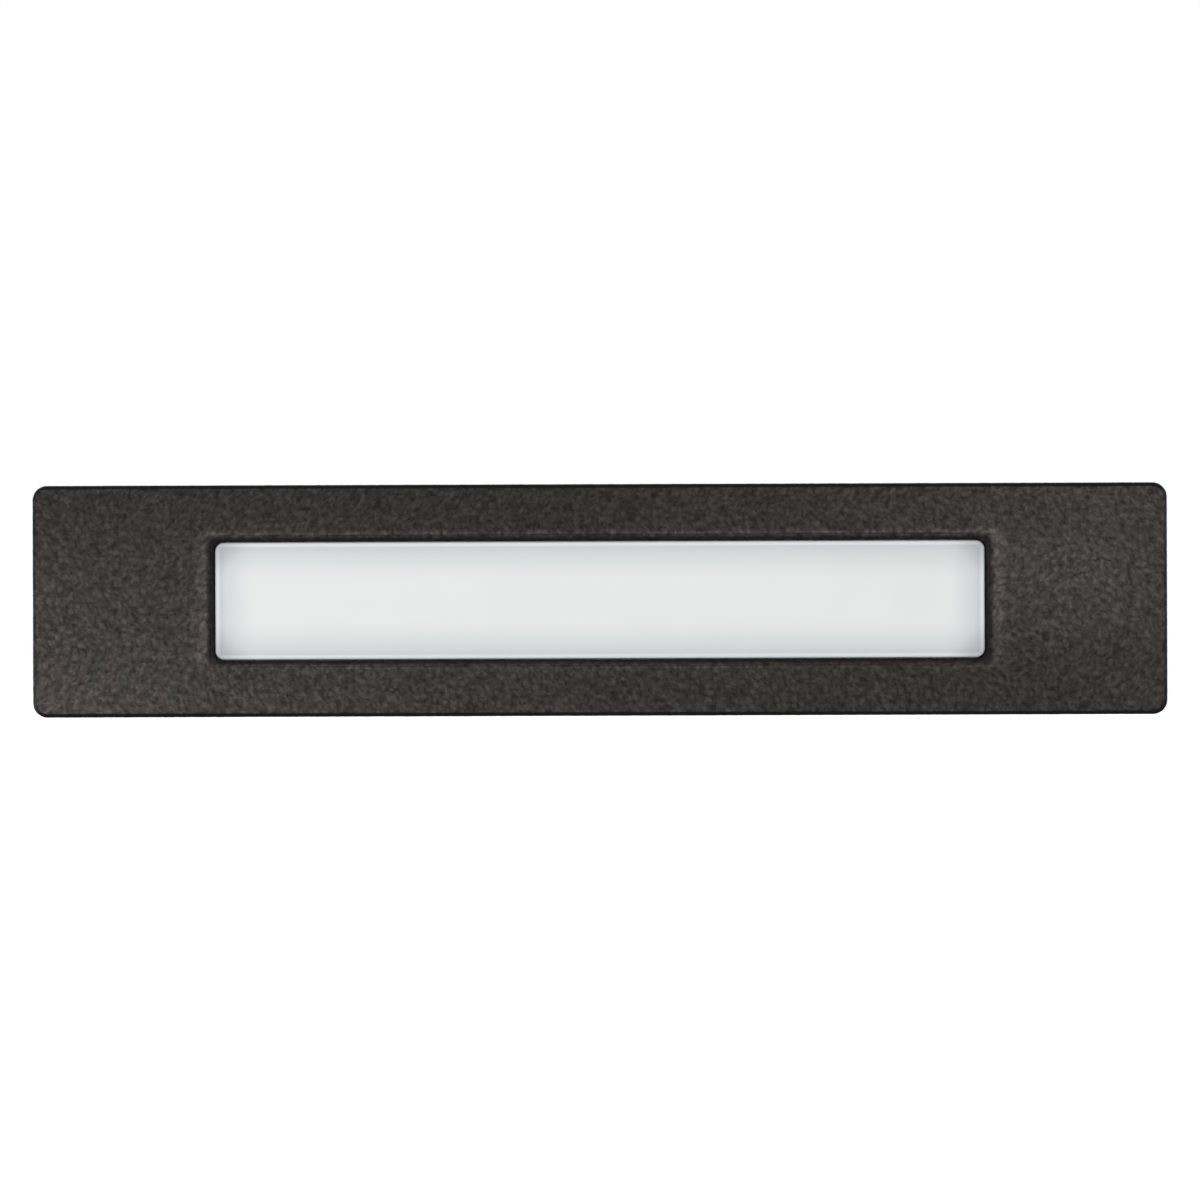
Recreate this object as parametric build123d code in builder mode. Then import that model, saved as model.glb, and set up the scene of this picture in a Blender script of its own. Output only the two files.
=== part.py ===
from build123d import *
import os
from math import atan2, cos, radians, tan

# Brick light: a cast wall light that takes the place of one brick in a course.
# A back box is built into the wall. A textured face plate carries a frosted lens and plugs
# into the box on two spring clips, so that no fastener shows from the front.
#
# Frame: X along the brick course, Z up, Y into the wall. The origin is the centre of the
# box's flange, on the wall's surface. Depths are Y values: negative stands out of the wall.
# All sizes are in millimetres.

# Window and lens
window_length = 190.0
window_height = 29.3
window_corner_radius = 2.4
window_edge_radius = 1.9
lens_fit = 0.25
lens_recess = 1.0
lens_thickness = 2.0
lens_wall = 1.5
lens_edge_radius = 0.6
lens_inside_radius = 0.8
lens_lip = 3.25
lens_lip_radius = 3.0
lens_lip_thickness = 2.2
lens_gasket_thickness = 1.2

# Lens frame, the sheet that holds the lens from behind
frame_thickness = 1.2
frame_side_edge = 0.6
frame_end_edge = 1.1
frame_corner_radius = 3.0
frame_boss_diameter = 6.5
frame_boss_gap = 1.15
frame_boss_inset = 7.5
frame_box_gap = 1.0

# Face plate
plate_thickness = 4.0
plate_corner_radius = 3.6
plate_edge_radius = 1.2
skirt_wall = 2.5
skirt_rear_gap = 0.5
skirt_end_gap = 3.2
skirt_side_gap = 0.775
cavity_corner_radius = 1.2
face_gasket_thickness = 1.8
face_gasket_overhang = 0.5

# Spring clips: bent leaves on the back of the face plate
clip_thickness = 0.7
clip_width = 12.0
clip_reach = 28.0
clip_wall_gap = 0.2
clip_boss_diameter = 7.0
clip_boss_height = 6.0
clip_boss_gap = 1.0
clip_foot_end = 3.6
clip_screw_gap = 1.1
clip_bow = 3.2
clip_bow_depth = 15.4
clip_lead_in = 3.6
clip_root_radius = 1.6
clip_bow_radius = 9.0

# Back box
box_wall = 2.5
box_depth = 58.0
box_corner_radius = 6.0
box_back_radius = 2.0
flange_thickness = 2.5
flange_corner_radius = 4.0
flange_side_lip = 3.3
rim_height = 1.7
wall_hole_diameter = 4.5
wall_hole_margin = 3.75
wall_hole_inset = 8.3
grip_rib_count = 6
grip_rib_width = 3.0
grip_rib_height = 1.2
grip_rib_setback = 6.0

# Conduit entries: one at each end, closed by a plug, and one at the back for the cable gland
entry_bore_diameter = 20.4
hub_wall = 3.3
end_hub_length = 9.0
end_hub_depth = 36.0
rear_hub_length = 6.0
rear_hub_inset = 21.0
seal_thickness = 1.2
plug_head_overhang = 2.2
plug_head_thickness = 3.0
plug_head_edge = 0.6
plug_hex = 10.0
plug_hex_depth = 6.0

# Cable gland
gland_hex = 25.0
gland_hex_thickness = 5.0
gland_thread_diameter = 18.0
gland_thread_length = 10.0
gland_inner_bore = 10.0
gland_seal_diameter = 13.0
gland_seal_length = 9.0
gland_seal_proud = 1.0
gland_seal_fit = 0.1
cable_bore_diameter = 7.0
gland_nut_hex = 22.0
gland_nut_length = 15.0
gland_nut_standoff = 1.5
gland_nut_mouth = 9.0
gland_nut_dome = 3.0
hex_edge = 0.8

# Light chamber: reflector tray, LED board and its parts
chamber_gap = 5.0
tray_wall = 1.0
tray_depth = 14.0
tray_opening_margin = 1.65
tray_side_gap = 2.0
tray_end_slope = 5.65
tray_corner_radius = 3.0
tray_tab_width = 16.0
tray_tab_end = 5.0
tray_screw_gap = 0.6
post_diameter = 8.0
pad_thickness = 0.5
board_side_room = 1.5
board_height = 19.0
board_thickness = 1.6
board_corner_radius = 1.0
board_screw_inset = 7.0
board_end = 8.0
led_count = 12
led_length = 3.5
led_width = 2.8
led_height = 0.8
connector_inset = 18.0
connector_edge = 0.3
connector_length = 5.0
connector_width = 6.4
connector_height = 4.4
grommet_groove_diameter = 7.0
grommet_flange_diameter = 9.2
grommet_flange_thickness = 0.8
grommet_bore_diameter = 5.2
grommet_gap = 0.9

# Driver and terminal block, on bosses in the box's back wall
module_boss_diameter = 8.0
module_boss_height = 4.0
driver_x = -24.0
driver_length = 68.0
driver_height = 30.0
driver_depth = 18.0
driver_edge_radius = 2.0
driver_foot_length = 9.0
driver_foot_width = 12.0
driver_foot_thickness = 2.0
terminal_gap = 24.0
terminal_length = 16.0
terminal_height = 24.0
terminal_depth = 15.0
terminal_foot_thickness = 3.0
terminal_pole_spacing = 13.0
terminal_entry_diameter = 3.6
terminal_entry_depth = 5.0
terminal_well_diameter = 4.8
terminal_well_depth = 3.2
terminal_well_spacing = 8.0
terminal_screw_diameter = 4.4
terminal_screw_height = 2.4
terminal_slot_width = 0.8
terminal_slot_depth = 0.9
terminal_edge = 1.5

# Insulated leads inside the box
lead_diameter = 1.6
lead_spacing = 2.5
lead_height = 9.0
lead_arch_gap = 4.9
supply_lead_hump = 3.5
supply_lead_grip = 3.0
bend_share = 0.45

# Screws: M3 pan heads with a cross recess
screw_diameter = 3.0
screw_head_diameter = 5.6
screw_head_height = 2.0
screw_head_edge = 0.9
recess_length = 3.0
recess_width = 0.7
recess_depth = 1.1
thread_gap = 0.05
screw_clearance = 0.25
hole_run_out = 0.5
frame_screw_length = 6.0
clip_screw_length = 6.0
tray_screw_length = 8.0
board_screw_length = 3.6
module_screw_length = 6.0

# Space at each end of the box for a clip, and width of the flange's ear outside it
frame_tab = frame_boss_gap + frame_boss_diameter + frame_end_edge
clip_screw_room = clip_boss_gap + (clip_boss_diameter + screw_head_diameter) / 2 + clip_screw_gap
clip_space = clip_screw_room + clip_thickness + clip_bow + clip_wall_gap
ear_width = wall_hole_diameter + 2 * wall_hole_margin

# Lengths and heights, from the window outwards
lens_length = window_length - 2 * lens_fit
lens_height = window_height - 2 * lens_fit
lip_length = window_length + 2 * lens_lip
lip_height = window_height + 2 * lens_lip
frame_length = lip_length + 2 * frame_tab
frame_height = lip_height + 2 * frame_side_edge
inner_length = frame_length + 2 * clip_space
inner_height = frame_height + 2 * frame_box_gap
box_length = inner_length + 2 * box_wall
box_height = inner_height + 2 * box_wall
flange_length = box_length + 2 * ear_width
flange_height = box_height + 2 * flange_side_lip
cavity_length = flange_length + 2 * skirt_end_gap
cavity_height = flange_height + 2 * skirt_side_gap
plate_length = cavity_length + 2 * skirt_wall
plate_height = cavity_height + 2 * skirt_wall
tray_opening_length = window_length + 2 * tray_opening_margin
tray_opening_height = inner_height - 2 * (tray_side_gap + tray_wall)
tray_base_length = tray_opening_length - 2 * tray_end_slope
tray_base_height = board_height + 2 * board_side_room
board_end_room = grommet_flange_diameter + 2 * grommet_gap
board_length = tray_base_length - 2 * board_end_room
led_pitch = (board_length - 2 * board_end) / led_count

# Depths, from the wall's surface
rim_y = -(flange_thickness + rim_height)
plate_back_y = rim_y - face_gasket_thickness
front_y = plate_back_y - plate_thickness
lip_y = plate_back_y + lens_gasket_thickness
frame_y = lip_y + lens_lip_thickness
frame_back_y = frame_y + frame_thickness
lens_front_y = front_y + lens_recess
clip_seat_y = plate_back_y + clip_boss_height
clip_back_y = clip_seat_y + clip_thickness
tray_front_y = frame_back_y + chamber_gap
tray_base_y = tray_front_y + tray_depth
tray_back_y = tray_base_y + tray_wall
board_back_y = tray_base_y - pad_thickness
board_front_y = board_back_y - board_thickness
connector_front_y = board_front_y - connector_height
box_floor_y = box_depth - box_wall
module_y = box_floor_y - module_boss_height
lead_y = module_y - lead_height
rear_hub_y = box_depth + rear_hub_length
gland_hex_y = rear_hub_y + seal_thickness
gland_thread_y = gland_hex_y + gland_hex_thickness
gland_end_y = gland_thread_y + gland_thread_length
gland_shoulder_y = gland_end_y + gland_seal_proud
gland_nut_y = gland_thread_y + gland_nut_standoff

# Places along the light that several pieces share
frame_screw_x = lip_length / 2 + frame_boss_gap + frame_boss_diameter / 2
frame_screw_z = frame_height / 2 - frame_boss_inset
clip_boss_x = frame_length / 2 + clip_boss_gap + clip_boss_diameter / 2
wall_hole_x = box_length / 2 + ear_width / 2
wall_hole_z = flange_height / 2 - wall_hole_inset
post_x = tray_opening_length / 2 + tray_wall + tray_screw_gap + screw_head_diameter / 2
gland_x = post_x - rear_hub_inset
board_screw_x = board_length / 2 - board_screw_inset
connector_x = connector_inset - board_length / 2
connector_z = connector_edge + connector_width / 2 - board_height / 2
grommet_x = (board_end_room - tray_base_length) / 2
driver_foot_x = (driver_length + driver_foot_length) / 2
terminal_face_x = driver_x + driver_length / 2 + terminal_gap
terminal_x = terminal_face_x + terminal_length / 2

# Bores and shanks that pair up
hub_diameter = entry_bore_diameter + 2 * hub_wall
entry_shank_diameter = entry_bore_diameter - 2 * thread_gap
plug_head_diameter = entry_bore_diameter + 2 * plug_head_overhang
pilot_diameter = screw_diameter + 2 * thread_gap
clear_diameter = screw_diameter + 2 * screw_clearance
gland_pocket_diameter = gland_seal_diameter + 2 * gland_seal_fit

sides = {"left": -1, "right": 1}
frame_screw_places = [
    (x, z) for x in (-frame_screw_x, frame_screw_x) for z in (-frame_screw_z, frame_screw_z)
]
clip_screw_places = [(-clip_boss_x, 0), (clip_boss_x, 0)]
tray_screw_places = [(-post_x, 0), (post_x, 0)]
board_screw_places = [(-board_screw_x, 0), (0, 0), (board_screw_x, 0)]
driver_screw_places = [(driver_x - driver_foot_x, 0), (driver_x + driver_foot_x, 0)]
terminal_screw_places = [(terminal_x, 0)]
terminal_well_places = [
    (terminal_x + x, z)
    for x in (-terminal_well_spacing / 2, terminal_well_spacing / 2)
    for z in (-terminal_pole_spacing / 2, terminal_pole_spacing / 2)
]


def facing(depth):
    """Plane parallel to the wall at a depth, facing the viewer, with X to the right and Z up."""
    return Plane.XZ.offset(-depth)


def seat_facing_out(x, depth, z):
    """Plane on a point of a surface that faces out of the wall."""
    return Plane((x, depth, z), x_dir=(1, 0, 0), z_dir=(0, -1, 0))


def seat_facing_in(x, depth, z):
    """Plane on a point of a surface that faces into the wall."""
    return Plane((x, depth, z), x_dir=(1, 0, 0), z_dir=(0, 1, 0))


def end_plane(side, distance):
    """Plane across the axis of an end entry, facing outwards, at a distance from the middle."""
    return Plane((side * distance, end_hub_depth, 0), x_dir=(0, 0, 1), z_dir=(side, 0, 0))


def write(piece, name):
    """Labels a finished piece and writes it under its own name."""
    piece.part.label = name
    export_step(piece.part, f"parts/{name}.step")


def pan_screws(seats, length):
    """A group of pan head screws. Each seat is the plane under a head, facing out of its hole."""
    shank_radius = screw_diameter / 2
    head_radius = screw_head_diameter / 2
    with BuildPart() as screws:
        for seat in seats:
            with BuildSketch(Plane(seat.origin, x_dir=seat.x_dir, z_dir=-seat.y_dir)):
                with BuildLine():
                    shank = Polyline(
                        (0, -length),
                        (shank_radius, -length),
                        (shank_radius, 0),
                        (head_radius, 0),
                        (head_radius, screw_head_height - screw_head_edge),
                    )
                    crown = TangentArc(
                        shank @ 1, (head_radius - screw_head_edge, screw_head_height), tangent=shank % 1
                    )
                    Polyline(crown @ 1, (0, screw_head_height), (0, -length))
                make_face()
            revolve(axis=Axis(seat.origin, seat.z_dir))
            with BuildSketch(seat.offset(screw_head_height)):
                Rectangle(recess_length, recess_width)
                Rectangle(recess_width, recess_length)
            extrude(amount=-recess_depth, mode=Mode.SUBTRACT)
    return screws


def ring(depth, thickness, outer, inner):
    """A flat ring parallel to the wall, built forwards from a depth.

    outer and inner are (length, height, corner radius).
    """
    with BuildPart() as band:
        with BuildSketch(facing(depth)):
            RectangleRounded(*outer)
            RectangleRounded(*inner, mode=Mode.SUBTRACT)
        extrude(amount=thickness)
    return band


def lead(points):
    """An insulated lead along points, with each bend as wide as its two runs allow."""
    corners = [Vector(*point) for point in points]
    runs = [after - before for before, after in zip(corners, corners[1:])]
    radii = [
        bend_share * min(first.length, second.length) / tan(radians(first.get_angle(second)) / 2)
        for first, second in zip(runs, runs[1:])
    ]
    with BuildPart() as wire:
        with BuildLine() as route:
            FilletPolyline(*corners, radius=radii)
        with BuildSketch(Plane(corners[0], z_dir=runs[0])):
            Circle(lead_diameter / 2)
        sweep(path=route.wires()[0])
    bends = ", ".join(f"{radius:.1f}" for radius in radii)
    section = Circle(lead_diameter / 2, mode=Mode.PRIVATE).area
    share = wire.part.volume / (section * route.wires()[0].length)
    print(f"lead: bend radii {bends} mm, volume over section times length {share:.4f}")
    return wire


def spring_clip(side):
    """A bent leaf: a foot under its screw, a blade that bows out to the end wall and a lead-in tip."""
    centre_y = clip_seat_y + clip_thickness / 2
    reach_x = inner_length / 2 - clip_wall_gap - clip_thickness / 2
    root_x = reach_x - clip_bow
    bow_y = centre_y + clip_bow_depth
    tip_y = centre_y + clip_reach
    half_turn = (atan2(clip_bow, clip_bow_depth) + atan2(clip_lead_in, tip_y - bow_y)) / 2
    corner_x = reach_x + clip_bow_radius * (1 / cos(half_turn) - 1)
    foot_x = clip_boss_x - clip_foot_end
    with BuildPart() as clip:
        with BuildLine() as blade:
            FilletPolyline(
                (side * foot_x, centre_y, 0),
                (side * root_x, centre_y, 0),
                (side * corner_x, bow_y, 0),
                (side * (reach_x - clip_lead_in), tip_y, 0),
                radius=[clip_root_radius, clip_bow_radius],
            )
        with BuildSketch(Plane((side * foot_x, centre_y, 0), x_dir=(0, 0, 1), z_dir=(side, 0, 0))):
            Rectangle(clip_width, clip_thickness)
        sweep(path=blade.wires()[0])
        with BuildSketch(seat_facing_in(side * clip_boss_x, clip_seat_y, 0)):
            Circle(clear_diameter / 2)
        extrude(amount=clip_thickness, mode=Mode.SUBTRACT)
    return clip


os.makedirs("parts", exist_ok=True)

# Back box: a casting with a wall flange, a gasket rim, conduit hubs, posts and bosses
with BuildPart() as back_box:
    with BuildSketch(facing(box_depth)):
        RectangleRounded(box_length, box_height, box_corner_radius)
    extrude(amount=box_depth - rim_y)
    fillet(back_box.faces().sort_by(Axis.Y)[-1].edges(), radius=box_back_radius)
    with BuildSketch(facing(0)):
        RectangleRounded(flange_length, flange_height, flange_corner_radius)
        with GridLocations(2 * wall_hole_x, 2 * wall_hole_z, 2, 2):
            Circle(wall_hole_diameter / 2, mode=Mode.SUBTRACT)
    extrude(amount=flange_thickness)
    with BuildSketch(facing(box_depth - grip_rib_setback)):
        with GridLocations(box_length / grip_rib_count, 0, grip_rib_count, 1):
            Rectangle(grip_rib_width, box_height + 2 * grip_rib_height)
    extrude(amount=box_depth - 2 * grip_rib_setback)
    for side in sides.values():
        with BuildSketch(end_plane(side, box_length / 2)):
            Circle(hub_diameter / 2)
        extrude(amount=end_hub_length)
    with BuildSketch(seat_facing_in(gland_x, box_depth, 0)):
        Circle(hub_diameter / 2)
    extrude(amount=rear_hub_length)
    with BuildSketch(facing(box_floor_y)):
        RectangleRounded(inner_length, inner_height, box_corner_radius - box_wall)
    extrude(amount=box_floor_y - rim_y, mode=Mode.SUBTRACT)
    with BuildSketch(facing(box_floor_y)):
        with Locations(*tray_screw_places):
            Circle(post_diameter / 2)
    extrude(amount=box_floor_y - tray_back_y)
    with BuildSketch(facing(box_floor_y)):
        with Locations(*driver_screw_places, *terminal_screw_places):
            Circle(module_boss_diameter / 2)
    extrude(amount=module_boss_height)
    with BuildSketch(facing(tray_base_y + tray_screw_length + hole_run_out)):
        with Locations(*tray_screw_places):
            Circle(pilot_diameter / 2)
    extrude(amount=tray_screw_length, mode=Mode.SUBTRACT)
    with BuildSketch(facing(module_y - driver_foot_thickness + module_screw_length + hole_run_out)):
        with Locations(*driver_screw_places):
            Circle(pilot_diameter / 2)
    extrude(amount=module_screw_length, mode=Mode.SUBTRACT)
    with BuildSketch(facing(module_y - terminal_foot_thickness + module_screw_length + hole_run_out)):
        with Locations(*terminal_screw_places):
            Circle(pilot_diameter / 2)
    extrude(amount=module_screw_length, mode=Mode.SUBTRACT)
    for side in sides.values():
        with BuildSketch(end_plane(side, inner_length / 2)):
            Circle(entry_bore_diameter / 2)
        extrude(amount=box_wall + end_hub_length, mode=Mode.SUBTRACT)
    with BuildSketch(seat_facing_in(gland_x, box_floor_y, 0)):
        Circle(entry_bore_diameter / 2)
    extrude(amount=box_wall + rear_hub_length, mode=Mode.SUBTRACT)
write(back_box, "back_box")

# Face plate: a casting with a skirt to the wall, a window and bosses behind
with BuildPart() as faceplate:
    with BuildSketch(facing(-skirt_rear_gap)):
        RectangleRounded(plate_length, plate_height, plate_corner_radius)
    extrude(amount=-skirt_rear_gap - front_y)
    with BuildSketch(facing(-skirt_rear_gap)):
        RectangleRounded(cavity_length, cavity_height, cavity_corner_radius)
    extrude(amount=-skirt_rear_gap - plate_back_y, mode=Mode.SUBTRACT)
    with BuildSketch(facing(plate_back_y)):
        RectangleRounded(window_length, window_height, window_corner_radius)
    extrude(amount=plate_thickness, mode=Mode.SUBTRACT)
    front = faceplate.faces().sort_by(Axis.Y)[0]
    fillet(front.outer_wire().edges(), radius=plate_edge_radius)
    front = faceplate.faces().sort_by(Axis.Y)[0]
    fillet(front.inner_wires()[0].edges(), radius=window_edge_radius)
    with BuildSketch(facing(frame_y)):
        with Locations(*frame_screw_places):
            Circle(frame_boss_diameter / 2)
    extrude(amount=frame_y - plate_back_y)
    with BuildSketch(facing(clip_seat_y)):
        with Locations(*clip_screw_places):
            Circle(clip_boss_diameter / 2)
    extrude(amount=clip_boss_height)
    with BuildSketch(facing(frame_y)):
        with Locations(*frame_screw_places):
            Circle(pilot_diameter / 2)
    extrude(amount=frame_screw_length - frame_thickness + hole_run_out, mode=Mode.SUBTRACT)
    with BuildSketch(facing(clip_seat_y)):
        with Locations(*clip_screw_places):
            Circle(pilot_diameter / 2)
    extrude(amount=clip_screw_length - clip_thickness + hole_run_out, mode=Mode.SUBTRACT)
write(faceplate, "faceplate")

# Frosted lens: a shallow moulded tub whose front fills the window, with a lip all round behind it
with BuildPart() as lens:
    with BuildSketch(facing(frame_y)):
        RectangleRounded(lens_length, lens_height, window_corner_radius - lens_fit)
    extrude(amount=frame_y - lens_front_y)
    fillet(lens.faces().sort_by(Axis.Y)[0].edges(), radius=lens_edge_radius)
    with BuildSketch(facing(frame_y)):
        RectangleRounded(lip_length, lip_height, lens_lip_radius)
    extrude(amount=lens_lip_thickness)
    with BuildSketch(facing(frame_y)):
        RectangleRounded(lens_length - 2 * lens_wall, lens_height - 2 * lens_wall, lens_inside_radius)
    extrude(amount=frame_y - lens_front_y - lens_thickness, mode=Mode.SUBTRACT)
write(lens, "lens")

lens_gasket = ring(
    lip_y,
    lens_gasket_thickness,
    (lip_length, lip_height, lens_lip_radius),
    (window_length, window_height, window_corner_radius),
)
write(lens_gasket, "lens_gasket")

with BuildPart() as lens_frame:
    with BuildSketch(facing(frame_back_y)):
        RectangleRounded(frame_length, frame_height, frame_corner_radius)
        RectangleRounded(window_length, window_height, window_corner_radius, mode=Mode.SUBTRACT)
        with Locations(*frame_screw_places):
            Circle(clear_diameter / 2, mode=Mode.SUBTRACT)
    extrude(amount=frame_thickness)
write(lens_frame, "lens_frame")

frame_seats = [seat_facing_in(x, frame_back_y, z) for x, z in frame_screw_places]
lens_frame_screws = pan_screws(frame_seats, frame_screw_length)
write(lens_frame_screws, "lens_frame_screws")

face_gasket = ring(
    rim_y,
    face_gasket_thickness,
    (
        box_length + 2 * face_gasket_overhang,
        box_height + 2 * face_gasket_overhang,
        box_corner_radius + face_gasket_overhang,
    ),
    (
        inner_length - 2 * face_gasket_overhang,
        inner_height - 2 * face_gasket_overhang,
        box_corner_radius - box_wall - face_gasket_overhang,
    ),
)
write(face_gasket, "face_gasket")

for hand, side in sides.items():
    write(spring_clip(side), f"spring_clip_{hand}")

clip_seats = [seat_facing_in(x, clip_back_y, z) for x, z in clip_screw_places]
spring_clip_screws = pan_screws(clip_seats, clip_screw_length)
write(spring_clip_screws, "spring_clip_screws")

# End plugs with their seals: each closes one conduit entry
for hand, side in sides.items():
    hub_face = box_length / 2 + end_hub_length
    with BuildPart() as plug_seal:
        with BuildSketch(end_plane(side, hub_face)):
            Circle(plug_head_diameter / 2)
            Circle(entry_bore_diameter / 2, mode=Mode.SUBTRACT)
        extrude(amount=seal_thickness)
    write(plug_seal, f"plug_seal_{hand}")

    with BuildPart() as end_plug:
        with BuildSketch(end_plane(side, hub_face + seal_thickness)):
            Circle(plug_head_diameter / 2)
        extrude(amount=plug_head_thickness)
        outer_face = end_plug.faces().sort_by(Axis((0, 0, 0), (side, 0, 0)))[-1]
        fillet(outer_face.edges(), radius=plug_head_edge)
        with BuildSketch(end_plane(side, hub_face + seal_thickness)):
            Circle(entry_shank_diameter / 2)
        extrude(amount=-(seal_thickness + end_hub_length + box_wall))
        with BuildSketch(end_plane(side, hub_face + seal_thickness + plug_head_thickness)):
            RegularPolygon(plug_hex / 2, 6, major_radius=False)
        extrude(amount=-plug_hex_depth, mode=Mode.SUBTRACT)
    write(end_plug, f"end_plug_{hand}")

# Cable gland at the back: washer, body, rubber seal and domed nut on one axis
with BuildPart() as gland_washer:
    with BuildSketch(seat_facing_in(gland_x, rear_hub_y, 0)):
        Circle(hub_diameter / 2)
        Circle(entry_bore_diameter / 2, mode=Mode.SUBTRACT)
    extrude(amount=seal_thickness)
write(gland_washer, "gland_washer")

with BuildPart() as gland_body:
    with BuildSketch(seat_facing_in(gland_x, box_floor_y, 0)):
        Circle(entry_shank_diameter / 2)
    extrude(amount=gland_hex_y - box_floor_y)
    with BuildSketch(seat_facing_in(gland_x, gland_hex_y, 0)):
        RegularPolygon(gland_hex / 2, 6, major_radius=False)
    extrude(amount=gland_hex_thickness)
    chamfer(gland_body.faces().sort_by(Axis.Y)[-1].edges(), length=hex_edge)
    with BuildSketch(seat_facing_in(gland_x, gland_thread_y, 0)):
        Circle(gland_thread_diameter / 2)
    extrude(amount=gland_thread_length)
    with BuildSketch(seat_facing_in(gland_x, box_floor_y, 0)):
        Circle(gland_inner_bore / 2)
    extrude(amount=gland_end_y - box_floor_y, mode=Mode.SUBTRACT)
    with BuildSketch(seat_facing_in(gland_x, gland_shoulder_y - gland_seal_length, 0)):
        Circle(gland_pocket_diameter / 2)
    extrude(amount=gland_seal_length - gland_seal_proud, mode=Mode.SUBTRACT)
write(gland_body, "gland_body")

with BuildPart() as gland_seal:
    with BuildSketch(seat_facing_in(gland_x, gland_shoulder_y - gland_seal_length, 0)):
        Circle(gland_seal_diameter / 2)
        Circle(cable_bore_diameter / 2, mode=Mode.SUBTRACT)
    extrude(amount=gland_seal_length)
write(gland_seal, "gland_seal")

with BuildPart() as gland_nut:
    with BuildSketch(seat_facing_in(gland_x, gland_nut_y, 0)):
        RegularPolygon(gland_nut_hex / 2, 6, major_radius=False)
    extrude(amount=gland_nut_length)
    fillet(gland_nut.faces().sort_by(Axis.Y)[-1].edges(), radius=gland_nut_dome)
    with BuildSketch(seat_facing_in(gland_x, gland_nut_y, 0)):
        Circle(gland_thread_diameter / 2 + thread_gap)
    extrude(amount=gland_shoulder_y - gland_nut_y, mode=Mode.SUBTRACT)
    with BuildSketch(seat_facing_in(gland_x, gland_shoulder_y, 0)):
        Circle(gland_nut_mouth / 2)
    extrude(amount=gland_nut_y + gland_nut_length - gland_shoulder_y, mode=Mode.SUBTRACT)
write(gland_nut, "gland_nut")

# Reflector tray: a white sheet pan with a tab at each end, screwed to the box's posts
with BuildPart() as led_tray:
    with BuildSketch(facing(tray_back_y)):
        RectangleRounded(
            tray_base_length + 2 * tray_wall, tray_base_height + 2 * tray_wall, tray_corner_radius
        )
    with BuildSketch(facing(tray_front_y)):
        RectangleRounded(
            tray_opening_length + 2 * tray_wall, tray_opening_height + 2 * tray_wall, tray_corner_radius
        )
    loft(ruled=True)
    with BuildSketch(facing(tray_back_y)):
        Rectangle(2 * (post_x + tray_tab_end), tray_tab_width)
    extrude(amount=tray_wall)
    with BuildSketch(facing(tray_base_y)):
        RectangleRounded(tray_base_length, tray_base_height, tray_corner_radius - tray_wall)
    with BuildSketch(facing(tray_front_y)):
        RectangleRounded(tray_opening_length, tray_opening_height, tray_corner_radius - tray_wall)
    loft(ruled=True, mode=Mode.SUBTRACT)
    with BuildSketch(facing(tray_back_y)):
        with Locations(*tray_screw_places):
            Circle(clear_diameter / 2)
        with Locations(*board_screw_places):
            Circle(pilot_diameter / 2)
        with Locations((grommet_x, 0)):
            Circle(grommet_groove_diameter / 2)
    extrude(amount=tray_wall, mode=Mode.SUBTRACT)
write(led_tray, "led_tray")

tray_seats = [seat_facing_out(x, tray_base_y, z) for x, z in tray_screw_places]
led_tray_screws = pan_screws(tray_seats, tray_screw_length)
write(led_tray_screws, "led_tray_screws")

# LED board on its heat pad, with the LEDs, the lead connector and the screws
with BuildPart() as thermal_pad:
    with BuildSketch(facing(tray_base_y)):
        RectangleRounded(board_length, board_height, board_corner_radius)
        with Locations(*board_screw_places):
            Circle(clear_diameter / 2, mode=Mode.SUBTRACT)
    extrude(amount=pad_thickness)
write(thermal_pad, "thermal_pad")

with BuildPart() as led_board:
    with BuildSketch(facing(board_back_y)):
        RectangleRounded(board_length, board_height, board_corner_radius)
        with Locations(*board_screw_places):
            Circle(clear_diameter / 2, mode=Mode.SUBTRACT)
    extrude(amount=board_thickness)
write(led_board, "led_board")

with BuildPart() as leds:
    with BuildSketch(facing(board_front_y)):
        with GridLocations(led_pitch, 0, led_count, 1):
            Rectangle(led_length, led_width)
    extrude(amount=led_height)
write(leds, "leds")

with BuildPart() as board_connector:
    with BuildSketch(facing(board_front_y)):
        with Locations((connector_x, connector_z)):
            Rectangle(connector_length, connector_width)
    extrude(amount=connector_height)
write(board_connector, "board_connector")

board_seats = [seat_facing_out(x, board_front_y, z) for x, z in board_screw_places]
led_board_screws = pan_screws(board_seats, board_screw_length)
write(led_board_screws, "led_board_screws")

# Grommet that lines the lead hole in the tray's base
with BuildPart() as tray_grommet:
    for depth in (tray_base_y, tray_back_y + grommet_flange_thickness):
        with BuildSketch(seat_facing_out(grommet_x, depth, 0)):
            Circle(grommet_flange_diameter / 2)
        extrude(amount=grommet_flange_thickness)
    with BuildSketch(seat_facing_out(grommet_x, tray_back_y, 0)):
        Circle(grommet_groove_diameter / 2)
    extrude(amount=tray_wall)
    with BuildSketch(seat_facing_out(grommet_x, tray_back_y + grommet_flange_thickness, 0)):
        Circle(grommet_bore_diameter / 2)
    extrude(amount=tray_wall + 2 * grommet_flange_thickness, mode=Mode.SUBTRACT)
write(tray_grommet, "tray_grommet")

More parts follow.
